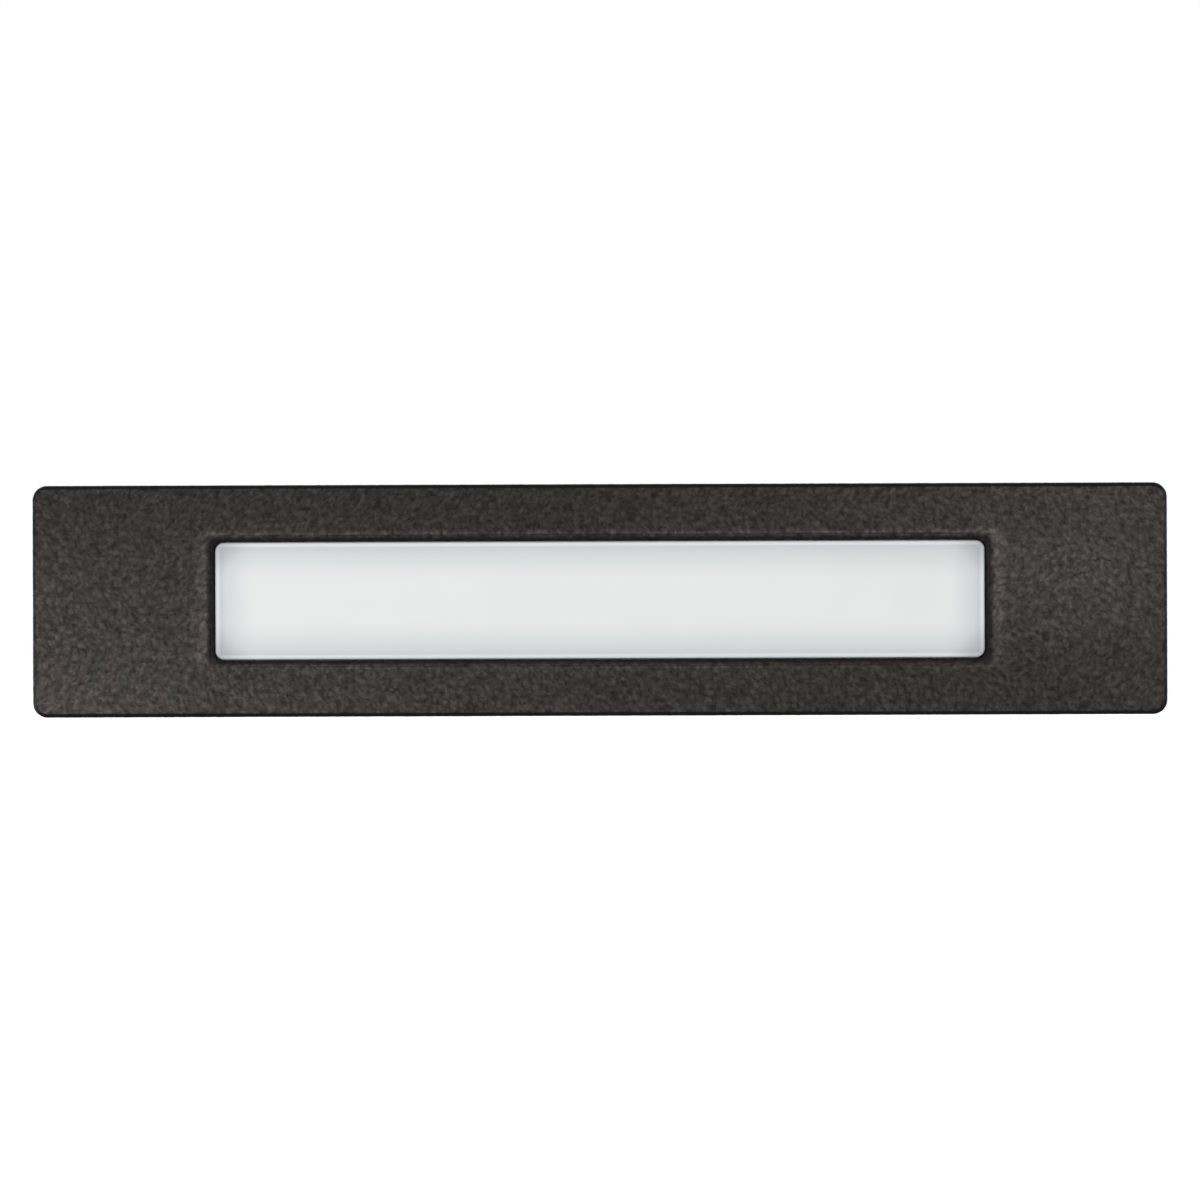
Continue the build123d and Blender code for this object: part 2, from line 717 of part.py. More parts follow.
# Driver: a potted case on two feet
with BuildPart() as driver_case:
    with BuildSketch(seat_facing_out(driver_x, module_y, 0)):
        Rectangle(driver_length, driver_height)
    extrude(amount=driver_depth)
    fillet(driver_case.edges().filter_by(Axis.Y), radius=driver_edge_radius)
    fillet(driver_case.faces().sort_by(Axis.Y)[0].edges(), radius=driver_edge_radius / 2)
    with BuildSketch(seat_facing_out(driver_x, module_y, 0)):
        Rectangle(driver_length + 2 * driver_foot_length, driver_foot_width)
        with Locations((-driver_foot_x, 0), (driver_foot_x, 0)):
            Circle(clear_diameter / 2, mode=Mode.SUBTRACT)
    extrude(amount=driver_foot_thickness)
write(driver_case, "driver_case")

driver_seats = [seat_facing_out(x, module_y - driver_foot_thickness, z) for x, z in driver_screw_places]
driver_screws = pan_screws(driver_seats, module_screw_length)
write(driver_screws, "driver_screws")

# Terminal block: two poles, each with an entry and a clamp screw at both ends
with BuildPart() as terminal_block:
    with BuildSketch(seat_facing_out(terminal_x, module_y, 0)):
        Rectangle(terminal_length, terminal_height)
    extrude(amount=terminal_depth)
    chamfer(terminal_block.faces().sort_by(Axis.Y)[0].edges().filter_by(Axis.Z), length=terminal_edge)
    with BuildSketch(facing(module_y - terminal_depth)):
        with Locations(*terminal_well_places):
            Circle(terminal_well_diameter / 2)
    extrude(amount=-terminal_well_depth, mode=Mode.SUBTRACT)
    with BuildSketch(seat_facing_out(terminal_x, module_y - terminal_foot_thickness, 0)):
        Circle(screw_head_diameter / 2 + screw_clearance)
    extrude(amount=terminal_depth - terminal_foot_thickness, mode=Mode.SUBTRACT)
    with BuildSketch(seat_facing_out(terminal_x, module_y, 0)):
        Circle(clear_diameter / 2)
    extrude(amount=terminal_foot_thickness, mode=Mode.SUBTRACT)
    for side in sides.values():
        entry_x = terminal_x + side * terminal_length / 2
        with BuildSketch(Plane((entry_x, lead_y, 0), x_dir=(0, 0, 1), z_dir=(side, 0, 0))):
            with GridLocations(terminal_pole_spacing, 0, 2, 1):
                Circle(terminal_entry_diameter / 2)
        extrude(amount=-terminal_entry_depth, mode=Mode.SUBTRACT)
write(terminal_block, "terminal_block")

terminal_seats = [
    seat_facing_out(x, module_y - terminal_foot_thickness, z) for x, z in terminal_screw_places
]
terminal_block_screw = pan_screws(terminal_seats, module_screw_length)
write(terminal_block_screw, "terminal_block_screw")

with BuildPart() as terminal_clamp_screws:
    with BuildSketch(facing(module_y - terminal_depth + terminal_well_depth)):
        with Locations(*terminal_well_places):
            Circle(terminal_screw_diameter / 2)
    extrude(amount=terminal_screw_height)
    with BuildSketch(facing(module_y - terminal_depth + terminal_well_depth - terminal_screw_height)):
        with Locations(*terminal_well_places):
            Rectangle(terminal_screw_diameter, terminal_slot_width)
    extrude(amount=-terminal_slot_depth, mode=Mode.SUBTRACT)
write(terminal_clamp_screws, "terminal_clamp_screws")

# Leads from the driver through the grommet to the board, and from the terminal block to the driver
arch_y = frame_back_y + lead_arch_gap
driver_out_x = driver_x - driver_length / 2
driver_in_x = driver_x + driver_length / 2
for name, offset in (("led_lead_red", lead_spacing / 2), ("led_lead_black", -lead_spacing / 2)):
    route = [
        (driver_out_x, lead_y, offset),
        (grommet_x, lead_y, offset),
        (grommet_x, arch_y, offset),
        (connector_x, arch_y, connector_z + offset),
        (connector_x, connector_front_y, connector_z + offset),
    ]
    write(lead(route), name)

for name, side in (("supply_lead_brown", 1), ("supply_lead_blue", -1)):
    pole_z = side * terminal_pole_spacing / 2
    route = [
        (driver_in_x, lead_y, pole_z),
        (driver_in_x + terminal_gap / 4, lead_y, pole_z),
        (driver_in_x + terminal_gap / 2, lead_y - supply_lead_hump, pole_z),
        (terminal_face_x - terminal_gap / 4, lead_y, pole_z),
        (terminal_face_x + supply_lead_grip, lead_y, pole_z),
    ]
    write(lead(route), name)

print(f"face plate {plate_length:.2f} x {plate_height:.2f} mm, front at {front_y:.2f} mm")
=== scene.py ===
"""Looks of the brick light: its finishes, its fine forms and a white studio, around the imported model.

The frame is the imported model's own: X along the brick course, Y into the wall, Z up, in metres.
"""

import logging
from dataclasses import dataclass
from enum import Enum
from functools import cached_property
from math import hypot, inf, pi, radians
from typing import Any, Optional, Sequence, Union

import bmesh
import bpy
from bmesh.types import BMEdge, BMesh, BMFace, BMVert
from bpy.types import Material, Node, NodeSocket, NodeTree
from mathutils import Matrix, Vector, noise


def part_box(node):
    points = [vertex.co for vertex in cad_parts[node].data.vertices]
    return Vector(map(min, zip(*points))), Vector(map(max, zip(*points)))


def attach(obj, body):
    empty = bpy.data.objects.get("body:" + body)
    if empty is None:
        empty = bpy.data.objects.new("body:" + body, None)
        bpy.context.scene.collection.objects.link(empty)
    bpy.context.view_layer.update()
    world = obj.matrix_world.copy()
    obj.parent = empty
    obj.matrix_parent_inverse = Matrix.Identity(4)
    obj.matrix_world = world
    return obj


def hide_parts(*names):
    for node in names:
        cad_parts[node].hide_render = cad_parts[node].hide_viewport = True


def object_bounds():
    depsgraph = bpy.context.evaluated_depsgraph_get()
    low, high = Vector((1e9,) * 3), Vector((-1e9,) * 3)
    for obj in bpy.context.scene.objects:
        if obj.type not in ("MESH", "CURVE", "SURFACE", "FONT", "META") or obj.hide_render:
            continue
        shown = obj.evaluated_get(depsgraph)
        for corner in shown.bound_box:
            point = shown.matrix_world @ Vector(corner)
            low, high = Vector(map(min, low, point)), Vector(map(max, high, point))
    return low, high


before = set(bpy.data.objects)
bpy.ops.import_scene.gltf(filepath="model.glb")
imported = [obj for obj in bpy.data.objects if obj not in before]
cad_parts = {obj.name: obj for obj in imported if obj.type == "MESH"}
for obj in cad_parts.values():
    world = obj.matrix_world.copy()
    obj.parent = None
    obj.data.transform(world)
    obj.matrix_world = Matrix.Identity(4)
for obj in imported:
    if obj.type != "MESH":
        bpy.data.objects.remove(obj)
CAD_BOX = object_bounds()

log = logging.getLogger("brick_light")

Triple = tuple[float, float, float]
Colour = Triple
Range = tuple[float, float]
Inputs = dict[Union[str, int], Any]

MM = 0.001
WELD = 0.001 * MM
FLAT_ANGLE = radians(0.3)
SHARP_ANGLE = radians(30.0)
SMOOTH_ANGLE = radians(35.0)
NOISE_SPREAD: Range = (0.3, 0.7)
UNIT: Range = (0.0, 1.0)
SIDES = (-1, 1)
HANDS = ("left", "right")
LEAD_RADIUS = 0.8 * MM


class Body(Enum):
    """The two bodies that pieces ride on."""

    HOUSING = "housing"
    FACE = "face"


class Slot(Enum):
    """The record's material slots."""

    BRONZE_COAT = "bronze_coat"
    BOX_COAT = "box_coat"
    FROSTED_LENS = "frosted_lens"
    WHITE_SILICONE = "white_silicone"
    BLACK_SILICONE = "black_silicone"
    STAINLESS_SHEET = "stainless_sheet"
    STEEL_SCREWS = "steel_screws"
    PLUG_METAL = "plug_metal"
    GLAND_NYLON = "gland_nylon"
    TRAY_WHITE = "tray_white"
    HEAT_PAD = "heat_pad"
    BOARD_WHITE = "board_white"
    LED_PHOSPHOR = "led_phosphor"
    IVORY_PLASTIC = "ivory_plastic"
    DRIVER_PLASTIC = "driver_plastic"
    TERMINAL_BRASS = "terminal_brass"
    LEAD_RED = "lead_red"
    LEAD_BLACK = "lead_black"
    LEAD_BROWN = "lead_brown"
    LEAD_BLUE = "lead_blue"


class Mark(Enum):
    """Vertex attributes of the face casting that its coat reads."""

    PIT = "coat_pit"
    # Painted shade on the rounded edges and round the window
    EDGE_SHADE = "painted_edge_shade"
    # Painted highlight line round the window
    HIGHLIGHT_LINE = "painted_highlight_line"


class Wiring:
    """A node tree, with short calls for the nodes that the finishes and the studio share."""

    def __init__(self, tree: NodeTree) -> None:
        """Takes over a tree and empties it."""
        tree.nodes.clear()
        self.tree = tree

    @cached_property
    def place(self) -> NodeSocket:
        """Object coordinates."""
        return self.add("TexCoord").outputs["Object"]

    def feed(self, node: Node, inputs: Inputs) -> None:
        """Feeds a node.

        Args:
            node: The node.
            inputs: What each input gets: a socket to follow, or a value that is the same all over.
        """
        for name, source in inputs.items():
            if isinstance(source, NodeSocket):
                self.tree.links.new(source, node.inputs[name])
            else:
                node.inputs[name].default_value = source

    def add(self, kind: str, inputs: Optional[Inputs] = None, **settings: str) -> Node:
        """Adds a node.

        Args:
            kind: The node's kind, such as Math.
            inputs: What its inputs get.
            settings: Its own settings.

        Returns:
            The node.
        """
        node = self.tree.nodes.new(f"ShaderNode{kind}")
        for name, value in settings.items():
            setattr(node, name, value)
        self.feed(node, inputs or {})
        return node

    def math(self, operation: str, *terms: Union[NodeSocket, float]) -> NodeSocket:
        """Result of a Math node's operation, such as ADD, on sockets and numbers."""
        return self.add("Math", dict(enumerate(terms)), operation=operation).outputs["Value"]

    def blend(self, first: NodeSocket, second: NodeSocket, share: float) -> NodeSocket:
        """The given share of the first value with the rest of the second."""
        return self.math("MULTIPLY_ADD", first, share, self.math("MULTIPLY", second, 1.0 - share))

    def span(self, value: NodeSocket, source: Range, target: Range, smooth: bool = False) -> NodeSocket:
        """A value moved from one range to another and held at its ends.

        Args:
            value: The value to move.
            source: The range that it comes from.
            target: The range that it goes to.
            smooth: Whether it eases in and out.

        Returns:
            The moved value.
        """
        ends = zip(("From Min", "From Max", "To Min", "To Max"), (*source, *target))
        course = "SMOOTHSTEP" if smooth else "LINEAR"
        moved = self.add("MapRange", {"Value": value, **dict(ends)}, interpolation_type=course)
        return moved.outputs["Result"]

    def away_from(self, centre: Triple = (0.0, 0.0, 0.0), units: Triple = (1.0, 1.0, 1.0)) -> NodeSocket:
        """Distance from a point, counted in a unit of its own along each axis.

        Args:
            centre: The point.
            units: The unit along each axis. An infinite one leaves its axis out.

        Returns:
            The distance.
        """
        scales = [1 / unit for unit in units]
        offsets = [-place * scale for place, scale in zip(centre, scales)]
        moved = self.add("Mapping", {"Vector": self.place, "Scale": scales, "Location": offsets})
        return self.add("VectorMath", {0: moved.outputs["Vector"]}, operation="LENGTH").outputs["Value"]


class Shader(Wiring):
    """A material's node tree around one Principled surface, patterned on Object coordinates."""

    def __init__(self, name: str) -> None:
        """Starts a material that holds only the surface.

        Args:
            name: The material's name.
        """
        self.material = bpy.data.materials.new(name)
        self.material.use_nodes = True
        super().__init__(self.material.node_tree)
        self.surface = self.add("BsdfPrincipled")
        self.add("OutputMaterial", {"Surface": self.surface.outputs["BSDF"]})

    def cover(self, colour: NodeSocket, roughness: NodeSocket, height: NodeSocket, depth: float,
              others: Optional[Inputs] = None) -> None:
        """Gives the surface its colour, its gloss and a fine relief.

        Args:
            colour: Its base colour.
            roughness: Its roughness.
            height: Height of the relief, from 0 to 1.
            depth: Depth of the relief.
            others: What more of the surface's inputs get.
        """
        relief = self.add("Bump", {"Height": height, "Distance": depth}).outputs["Normal"]
        main = {"Base Color": colour, "Roughness": roughness, "Normal": relief}
        self.feed(self.surface, {**main, **(others or {})})

    def noise(self, size: float, detail: float = 2.0, place: Optional[NodeSocket] = None) -> NodeSocket:
        """Soft noise from 0 to 1.

        Args:
            size: How far apart its spots are, in metres, or in grains of a stretched place.
            detail: How many finer layers it has.
            place: Coordinates to read in place of Object coordinates.

        Returns:
            The noise's value.
        """
        inputs = {"Vector": place or self.place, "Scale": 1 / size, "Detail": detail}
        return self.add("TexNoise", inputs).outputs["Fac"]

    def stretched(self, sizes: Triple) -> NodeSocket:
        """Object coordinates counted in grains of the given length along each axis."""
        scales = [1 / size for size in sizes]
        return self.add("Mapping", {"Vector": self.place, "Scale": scales}).outputs["Vector"]

    def cells(self, size: float) -> NodeSocket:
        """Distance to the nearest of points scattered at about this spacing, counted in spacings."""
        return self.add("TexVoronoi", {"Vector": self.place, "Scale": 1 / size}).outputs["Distance"]

    def attribute(self, mark: Mark) -> NodeSocket:
        """Value of one of the mesh's own vertex attributes."""
        return self.add("Attribute", attribute_name=mark.value).outputs["Fac"]

    def axis(self, letter: str) -> NodeSocket:
        """One Object coordinate: X, Y or Z."""
        return self.add("SeparateXYZ", {"Vector": self.place}).outputs[letter]

    def waves(self, value: NodeSocket, length: float) -> NodeSocket:
        """Waves from 0 to 1 along a value, each of the given length."""
        turn = self.math("MULTIPLY", value, 2 * pi / length)
        return self.span(self.math("SINE", turn), (-1.0, 1.0), UNIT)

    def ramp(self, value: NodeSocket, stops: Sequence[float], colours: Sequence[Colour]) -> NodeSocket:
        """A colour that passes through several as a value grows.

        Args:
            value: The value, from 0 to 1.
            stops: The value at which each colour is reached.
            colours: The colours.

        Returns:
            The colour.
        """
        node = self.add("ValToRGB", {"Fac": value})
        steps = node.color_ramp.elements
        while len(steps) < len(stops):
            steps.new(1.0)
        for step, stop, colour in zip(steps, stops, colours):
            step.position = stop
            step.color = (*colour, 1.0)
        return node.outputs["Color"]

    def dim(self, colour: NodeSocket, factor: NodeSocket) -> NodeSocket:
        """A colour made darker or lighter by a factor."""
        scaled = self.add("VectorMath", {"Vector": colour, "Scale": factor}, operation="SCALE")
        return scaled.outputs["Vector"]

    def mix(self, share: NodeSocket, first: Union[NodeSocket, Colour], second: Colour) -> NodeSocket:
        """The first colour where the share is 0 and the second where it is 1.

        Args:
            share: The share, from 0 to 1.
            first: The first colour.
            second: The second colour.

        Returns:
            The mixed colour.
        """
        start = first if isinstance(first, NodeSocket) else (*first, 1.0)
        return self.add("MixRGB", {"Fac": share, "Color1": start, "Color2": (*second, 1.0)}).outputs["Color"]


@dataclass(frozen=True)
class Finish:
    """A surface finish. Each kind of finish wires its own pattern."""

    name: str
    slot: Slot

    def wire(self, shader: Shader) -> None:
        """Wires the finish's pattern."""
        raise NotImplementedError

    def material(self) -> Material:
        """The finish's material, which is wired the first time it is asked for.

        Returns:
            The material.
        """
        known = bpy.data.materials.get(self.name)
        if known:
            return known
        shader = Shader(self.name)
        self.wire(shader)
        return shader.material


@dataclass(frozen=True)
class CastCoat(Finish):
    """Powder coat on a casting: pale pebbles with dark pits between them, partly the coat's own mottle and
    partly painted shade in the hollows.
    """

    # Tone in the pits: partly the coat's mottle, partly painted shade
    deep: Colour = (0.013, 0.0108, 0.0095)
    base: Colour = (0.0356, 0.0308, 0.0276)
    pale: Colour = (0.0637, 0.0558, 0.0508)
    stops: Triple = (0.22, 0.5, 0.76)
    grain: float = 0.9 * MM
    grain_depth: float = 0.05 * MM
    speck: float = 0.35 * MM
    speck_share: float = 0.4
    fine_gain: float = 0.8
    fine_level: float = 0.26
    cell_wall: Range = (0.15, 0.75)
    swell_grains: float = 0.7
    swell_share: float = 0.65
    pit_drop: float = 0.48
    cloud: float = 30 * MM
    cloud_gain: Range = (0.93, 1.07)
    rough: Range = (0.78, 0.6)
    specular: float = 0.1

    def pits(self, shader: Shader) -> NodeSocket:
        """How deep each point of the coat lies.

        Args:
            shader: The material's tree.

        Returns:
            The depth, from 0 on a pebble to 1 in a pit.
        """
        cells = shader.span(shader.cells(self.grain), self.cell_wall, UNIT, smooth=True)
        swell = shader.noise(self.swell_grains * self.grain)
        return shader.blend(swell, cells, self.swell_share)

    def with_painted_shading(self, shader: Shader, colour: NodeSocket) -> NodeSocket:
        """The coat's colour with painted light and shade, of which a plain coat has none."""
        return colour

    def wire(self, shader: Shader) -> None:
        """Wires mottled colour, uneven gloss and a pebbled relief.

        Args:
            shader: The material's tree.
        """
        specks = shader.noise(self.speck, detail=1)
        fine = shader.blend(specks, shader.noise(self.grain, detail=3), self.speck_share)
        raised = shader.math("MULTIPLY_ADD", fine, self.fine_gain, self.fine_level)
        # Darker where the coat lies deep: partly the coat's mottle, partly painted shade in the pits
        height = shader.math("MULTIPLY_ADD", self.pits(shader), -self.pit_drop, raised)
        mottled = shader.ramp(height, self.stops, (self.deep, self.base, self.pale))
        cloud = shader.span(shader.noise(self.cloud, detail=1), NOISE_SPREAD, self.cloud_gain)
        colour = self.with_painted_shading(shader, shader.dim(mottled, cloud))
        roughness = shader.span(height, NOISE_SPREAD, self.rough)
        shader.cover(colour, roughness, fine, self.grain_depth, {"Specular IOR Level": self.specular})


@dataclass(frozen=True)
class FaceCoat(CastCoat):
    """The face plate's coat, which reads the casting's pebbles, with painted light across the face and
    painted shade on rounded edges.
    """

    # Colour of the painted shade on the rounded edges and in the band round the window
    edge: Colour = (0.0048, 0.004, 0.0036)
    # Strength of the painted highlight line round the window
    highlight_line_gain: float = 1.4
    half_length: float = 140 * MM
    half_height: float = 28 * MM
    # Painted light and shade across the face: paler towards the ends and the lower left, with a painted
    # light patch on the right
    end_painted_light: float = 0.475
    left_painted_light: float = 0.118
    low_painted_light: float = 0.128
    corner_painted_shading: float = 0.385
    highlight_patch_gain: float = 0.45
    highlight_patch_centre: Triple = (116 * MM, 0.0, 5 * MM)
    highlight_patch_reach: Triple = (40 * MM, inf, 24 * MM)

    def pits(self, shader: Shader) -> NodeSocket:
        """The depth that the casting's own points carry."""
        return shader.attribute(Mark.PIT)

    def with_painted_shading(self, shader: Shader, colour: NodeSocket) -> NodeSocket:
        """The colour with painted light across the face, a painted highlight line round the window and
        painted shade on rounded edges.

        Args:
            shader: The material's tree.
            colour: The mottled colour.

        Returns:
            The colour with these marks.
        """
        # Painted highlight along the line round the window
        line = shader.math("MULTIPLY_ADD", shader.attribute(Mark.HIGHLIGHT_LINE), self.highlight_line_gain, 1.0)
        # Painted light and shade across the face
        paler = shader.dim(colour, shader.math("MULTIPLY", self.painted_light_gain(shader), line))
        # Painted shade on the rounded edges and round the window, over the painted light
        return shader.mix(shader.attribute(Mark.EDGE_SHADE), paler, self.edge)

    def painted_light_gain(self, shader: Shader) -> NodeSocket:
        """How much painted light the coat gets: paler towards both ends, at the lower left and in a patch on
        the right.

        Args:
            shader: The material's tree.

        Returns:
            The factor of painted light and shade on the coat's colour.
        """
        along = shader.math("DIVIDE", shader.axis("X"), self.half_length)
        upwards = shader.math("DIVIDE", shader.axis("Z"), self.half_height)
        corners = shader.math("MULTIPLY_ADD", upwards, self.corner_painted_shading, -self.left_painted_light)
        slope = shader.math("MULTIPLY_ADD", along, self.end_painted_light, corners)
        level = shader.math("MULTIPLY_ADD", upwards, -self.low_painted_light, 1.0)
        away = shader.away_from(self.highlight_patch_centre, self.highlight_patch_reach)
        patch = shader.span(away, UNIT, (self.highlight_patch_gain, 0.0), smooth=True)
        return shader.math("MULTIPLY_ADD", slope, along, shader.math("ADD", level, patch))


@dataclass(frozen=True)
class FrostedLens(Finish):
    """Opal acrylic with painted light: paler in the middle, painted shade at the corners, a painted
    highlight on the rim and a thin painted shade line inside it.
    """

    # Painted glow in the middle, painted shade towards the edges
    middle: Colour = (0.80, 0.815, 0.812)
    shaded_border: Colour = (0.63, 0.66, 0.672)
    half_length: float = 94.75 * MM
    half_height: float = 14.4 * MM
    fall_off: float = 10.0 * MM
    border_share: float = 0.80
    corner_painted_shading: float = 0.66
    # Painted highlight on the rim, then a painted shade line inside it
    rim_highlight_end: Range = (0.875 * MM, 1.25 * MM)
    rim_highlight_gain: float = 1.14
    shade_end: Range = (1.625 * MM, 2.75 * MM)
    shade_gain: float = 0.95
    cloud: float = 16 * MM
    cloud_gain: Range = (0.992, 1.008)
    frost: float = 0.12 * MM
    frost_depth: float = 0.004 * MM
    rough: Range = (0.42, 0.56)
    specular: float = 0.25

    def wire(self, shader: Shader) -> None:
        """Wires the painted fall-off to each side, the painted highlight on the rim and a fine frost.

        Args:
            shader: The material's tree.
        """
        reaches = []
        for letter, half in (("X", self.half_length), ("Z", self.half_height)):
            reaches.append(shader.math("SUBTRACT", half, shader.math("ABSOLUTE", shader.axis(letter))))
        share = self.border_share
        fades = [shader.span(reach, (0.0, self.fall_off), (share, 1.0), smooth=True) for reach in reaches]
        # Painted glow, darker towards each side and more at the corners
        glow = shader.math("MULTIPLY", *fades)
        painted_glow = shader.ramp(shader.span(glow, (share, 1.0), UNIT), UNIT, (self.shaded_border, self.middle))
        corner = shader.span(glow, (share**2, share), (self.corner_painted_shading, 1.0))
        nearest = shader.math("MINIMUM", *reaches)
        # Painted highlight on the rim and a painted shade line inside it
        rim = shader.span(nearest, self.rim_highlight_end, (self.rim_highlight_gain, self.shade_gain), smooth=True)
        inner = shader.span(nearest, self.shade_end, (0.0, 1.0 - self.shade_gain), smooth=True)
        edge = shader.math("MULTIPLY", shader.math("ADD", rim, inner), corner)
        cloud = shader.span(shader.noise(self.cloud), NOISE_SPREAD, self.cloud_gain)
        colour = shader.dim(painted_glow, shader.math("MULTIPLY", edge, cloud))
        frost = shader.noise(self.frost, detail=1)
        roughness = shader.span(frost, NOISE_SPREAD, self.rough)
        shader.cover(colour, roughness, frost, self.frost_depth, {"Specular IOR Level": self.specular})


@dataclass(frozen=True)
class TwoTone(Finish):
    """Two close tones in soft clouds, with fine grains in the gloss and the relief."""

    base: Colour
    pale: Colour
    stops: Range = (0.35, 0.7)
    cloud: float = 7 * MM
    cloud_detail: float = 3.0
    grain: float = 0.3 * MM
    grain_detail: float = 2.0
    rough: Range = (0.38, 0.55)
    depth: float = 0.015 * MM
    specular: float = 0.5
    metallic: float = 0.0

    def grains(self, shader: Shader) -> NodeSocket:
        """Height of the grains, from 0 to 1."""
        return shader.noise(self.grain, self.grain_detail)

    def clouds(self, shader: Shader, grains: NodeSocket) -> NodeSocket:
        """Value of the clouds, from 0 in the base tone to 1 in the pale one."""
        return shader.noise(self.cloud, self.cloud_detail)

    def dulled_by(self, clouds: NodeSocket, grains: NodeSocket) -> NodeSocket:
        """What the gloss follows: the clouds or the grains."""
        return grains

    def wire(self, shader: Shader) -> None:
        """Wires the clouds and the grains.

        Args:
            shader: The material's tree.
        """
        grains = self.grains(shader)
        clouds = self.clouds(shader, grains)
        colour = shader.ramp(clouds, self.stops, (self.base, self.pale))
        roughness = shader.span(self.dulled_by(clouds, grains), NOISE_SPREAD, self.rough)
        others = {"Specular IOR Level": self.specular, "Metallic": self.metallic}
        shader.cover(colour, roughness, grains, self.depth, others)


@dataclass(frozen=True)
class Silicone(TwoTone):
    """Soft moulded rubber with a dusty bloom."""

    base: Colour = (0.02, 0.02, 0.02)
    pale: Colour = (0.035, 0.035, 0.034)
    cloud: float = 5 * MM
    cloud_detail: float = 4.0
    grain: float = 0.4 * MM
    rough: Range = (0.62, 0.82)
    depth: float = 0.02 * MM
    specular: float = 0.3


@dataclass(frozen=True)
class MouldedPlastic(TwoTone):
    """Injection moulded plastic with a spark-eroded texture and faint flow clouds."""

    base: Colour = (0.018, 0.018, 0.019)
    pale: Colour = (0.028, 0.028, 0.029)
    specular: float = 0.4


@dataclass(frozen=True)
class Enamel(TwoTone):
    """White stoved enamel on sheet, with a soft orange peel."""

    base: Colour = (0.74, 0.75, 0.75)
    pale: Colour = (0.84, 0.85, 0.85)
    stops: Range = (0.35, 0.65)
    cloud: float = 14 * MM
    grain: float = 1.1 * MM
    grain_detail: float = 1.0
    rough: Range = (0.28, 0.4)
    depth: float = 0.012 * MM


@dataclass(frozen=True)
class PhosphorGel(TwoTone):
    """Yellow phosphor in clear gel, with settled grains under a glossy skin."""

    base: Colour = (0.78, 0.50, 0.06)
    pale: Colour = (0.86, 0.66, 0.17)
    stops: Range = (0.35, 0.65)
    grain: float = 0.16 * MM
    grain_detail: float = 4.0
    rough: Range = (0.16, 0.3)
    depth: float = 0.01 * MM

    def clouds(self, shader: Shader, grains: NodeSocket) -> NodeSocket:
        """The grains themselves, which carry the tones."""
        return grains


@dataclass(frozen=True)
class BrushedSheet(TwoTone):
    """Rolled stainless sheet with its brush lines along one axis."""

    base: Colour = (0.52, 0.52, 0.51)
    pale: Colour = (0.64, 0.64, 0.63)
    stops: Range = (0.35, 0.65)
    cloud: float = 9 * MM
    cloud_share: float = 0.4
    strokes: Triple = (18 * MM, 0.12 * MM, 0.12 * MM)
    grain_detail: float = 3.0
    rough: Range = (0.26, 0.42)
    depth: float = 0.006 * MM
    metallic: float = 1.0

    def grains(self, shader: Shader) -> NodeSocket:
        """The brush's long strokes."""
        return shader.noise(1.0, self.grain_detail, place=shader.stretched(self.strokes))

    def clouds(self, shader: Shader, grains: NodeSocket) -> NodeSocket:
        """Stains among the strokes."""
        return shader.blend(super().clouds(shader, grains), grains, self.cloud_share)


@dataclass(frozen=True)
class PlatedMetal(TwoTone):
    """Plated metal with a slightly clouded surface."""

    base: Colour = (0.46, 0.46, 0.45)
    pale: Colour = (0.60, 0.60, 0.59)
    stops: Range = (0.35, 0.68)
    cloud: float = 2.2 * MM
    cloud_detail: float = 4.0
    grain: float = 0.25 * MM
    rough: Range = (0.24, 0.42)
    depth: float = 0.006 * MM
    metallic: float = 1.0

    def dulled_by(self, clouds: NodeSocket, grains: NodeSocket) -> NodeSocket:
        """The clouds."""
        return clouds


@dataclass(frozen=True)
class TurnedMetal(PlatedMetal):
    """Plated metal with the fine rings of a lathe round an axis along X."""

    centre_of: str = "end_plug_left"
    ring: float = 0.3 * MM
    ring_share: float = 0.6

    def grains(self, shader: Shader) -> NodeSocket:
        """The rings, a little uneven.

        Args:
            shader: The material's tree.

        Returns:
            Their height, from 0 to 1.
        """
        low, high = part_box(self.centre_of)
        from_axis = shader.away_from((low + high) / 2, units=(inf, 1.0, 1.0))
        rings = shader.waves(from_axis, self.ring)
        return shader.blend(rings, super().grains(shader), self.ring_share)


@dataclass(frozen=True)
class BoardMask(Finish):
    """White solder mask on an aluminium board, whose cut edge shows the core."""

    mask: Colour = (0.80, 0.81, 0.80)
    core: Colour = (0.44, 0.45, 0.46)
    mask_end: Range = (0.14 * MM, 0.182 * MM)
    print_grain: float = 0.5 * MM
    print_depth: float = 0.008 * MM
    cloud: float = 8 * MM
    cloud_gain: Range = (0.95, 1.03)
    rough: Range = (0.3, 0.45)

    def wire(self, shader: Shader) -> None:
        """Wires the mask over the core, with a print-like unevenness.

        Args:
            shader: The material's tree.
        """
        depth = shader.math("SUBTRACT", shader.axis("Y"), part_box("led_board")[0].y)
        bare = shader.span(depth, self.mask_end, UNIT)
        grain = shader.noise(self.print_grain, detail=3)
        cloud = shader.span(shader.noise(self.cloud), NOISE_SPREAD, self.cloud_gain)
        colour = shader.dim(shader.mix(bare, self.mask, self.core), cloud)
        roughness = shader.span(grain, NOISE_SPREAD, self.rough)
        shader.cover(colour, roughness, grain, self.print_depth, {"Metallic": bare})


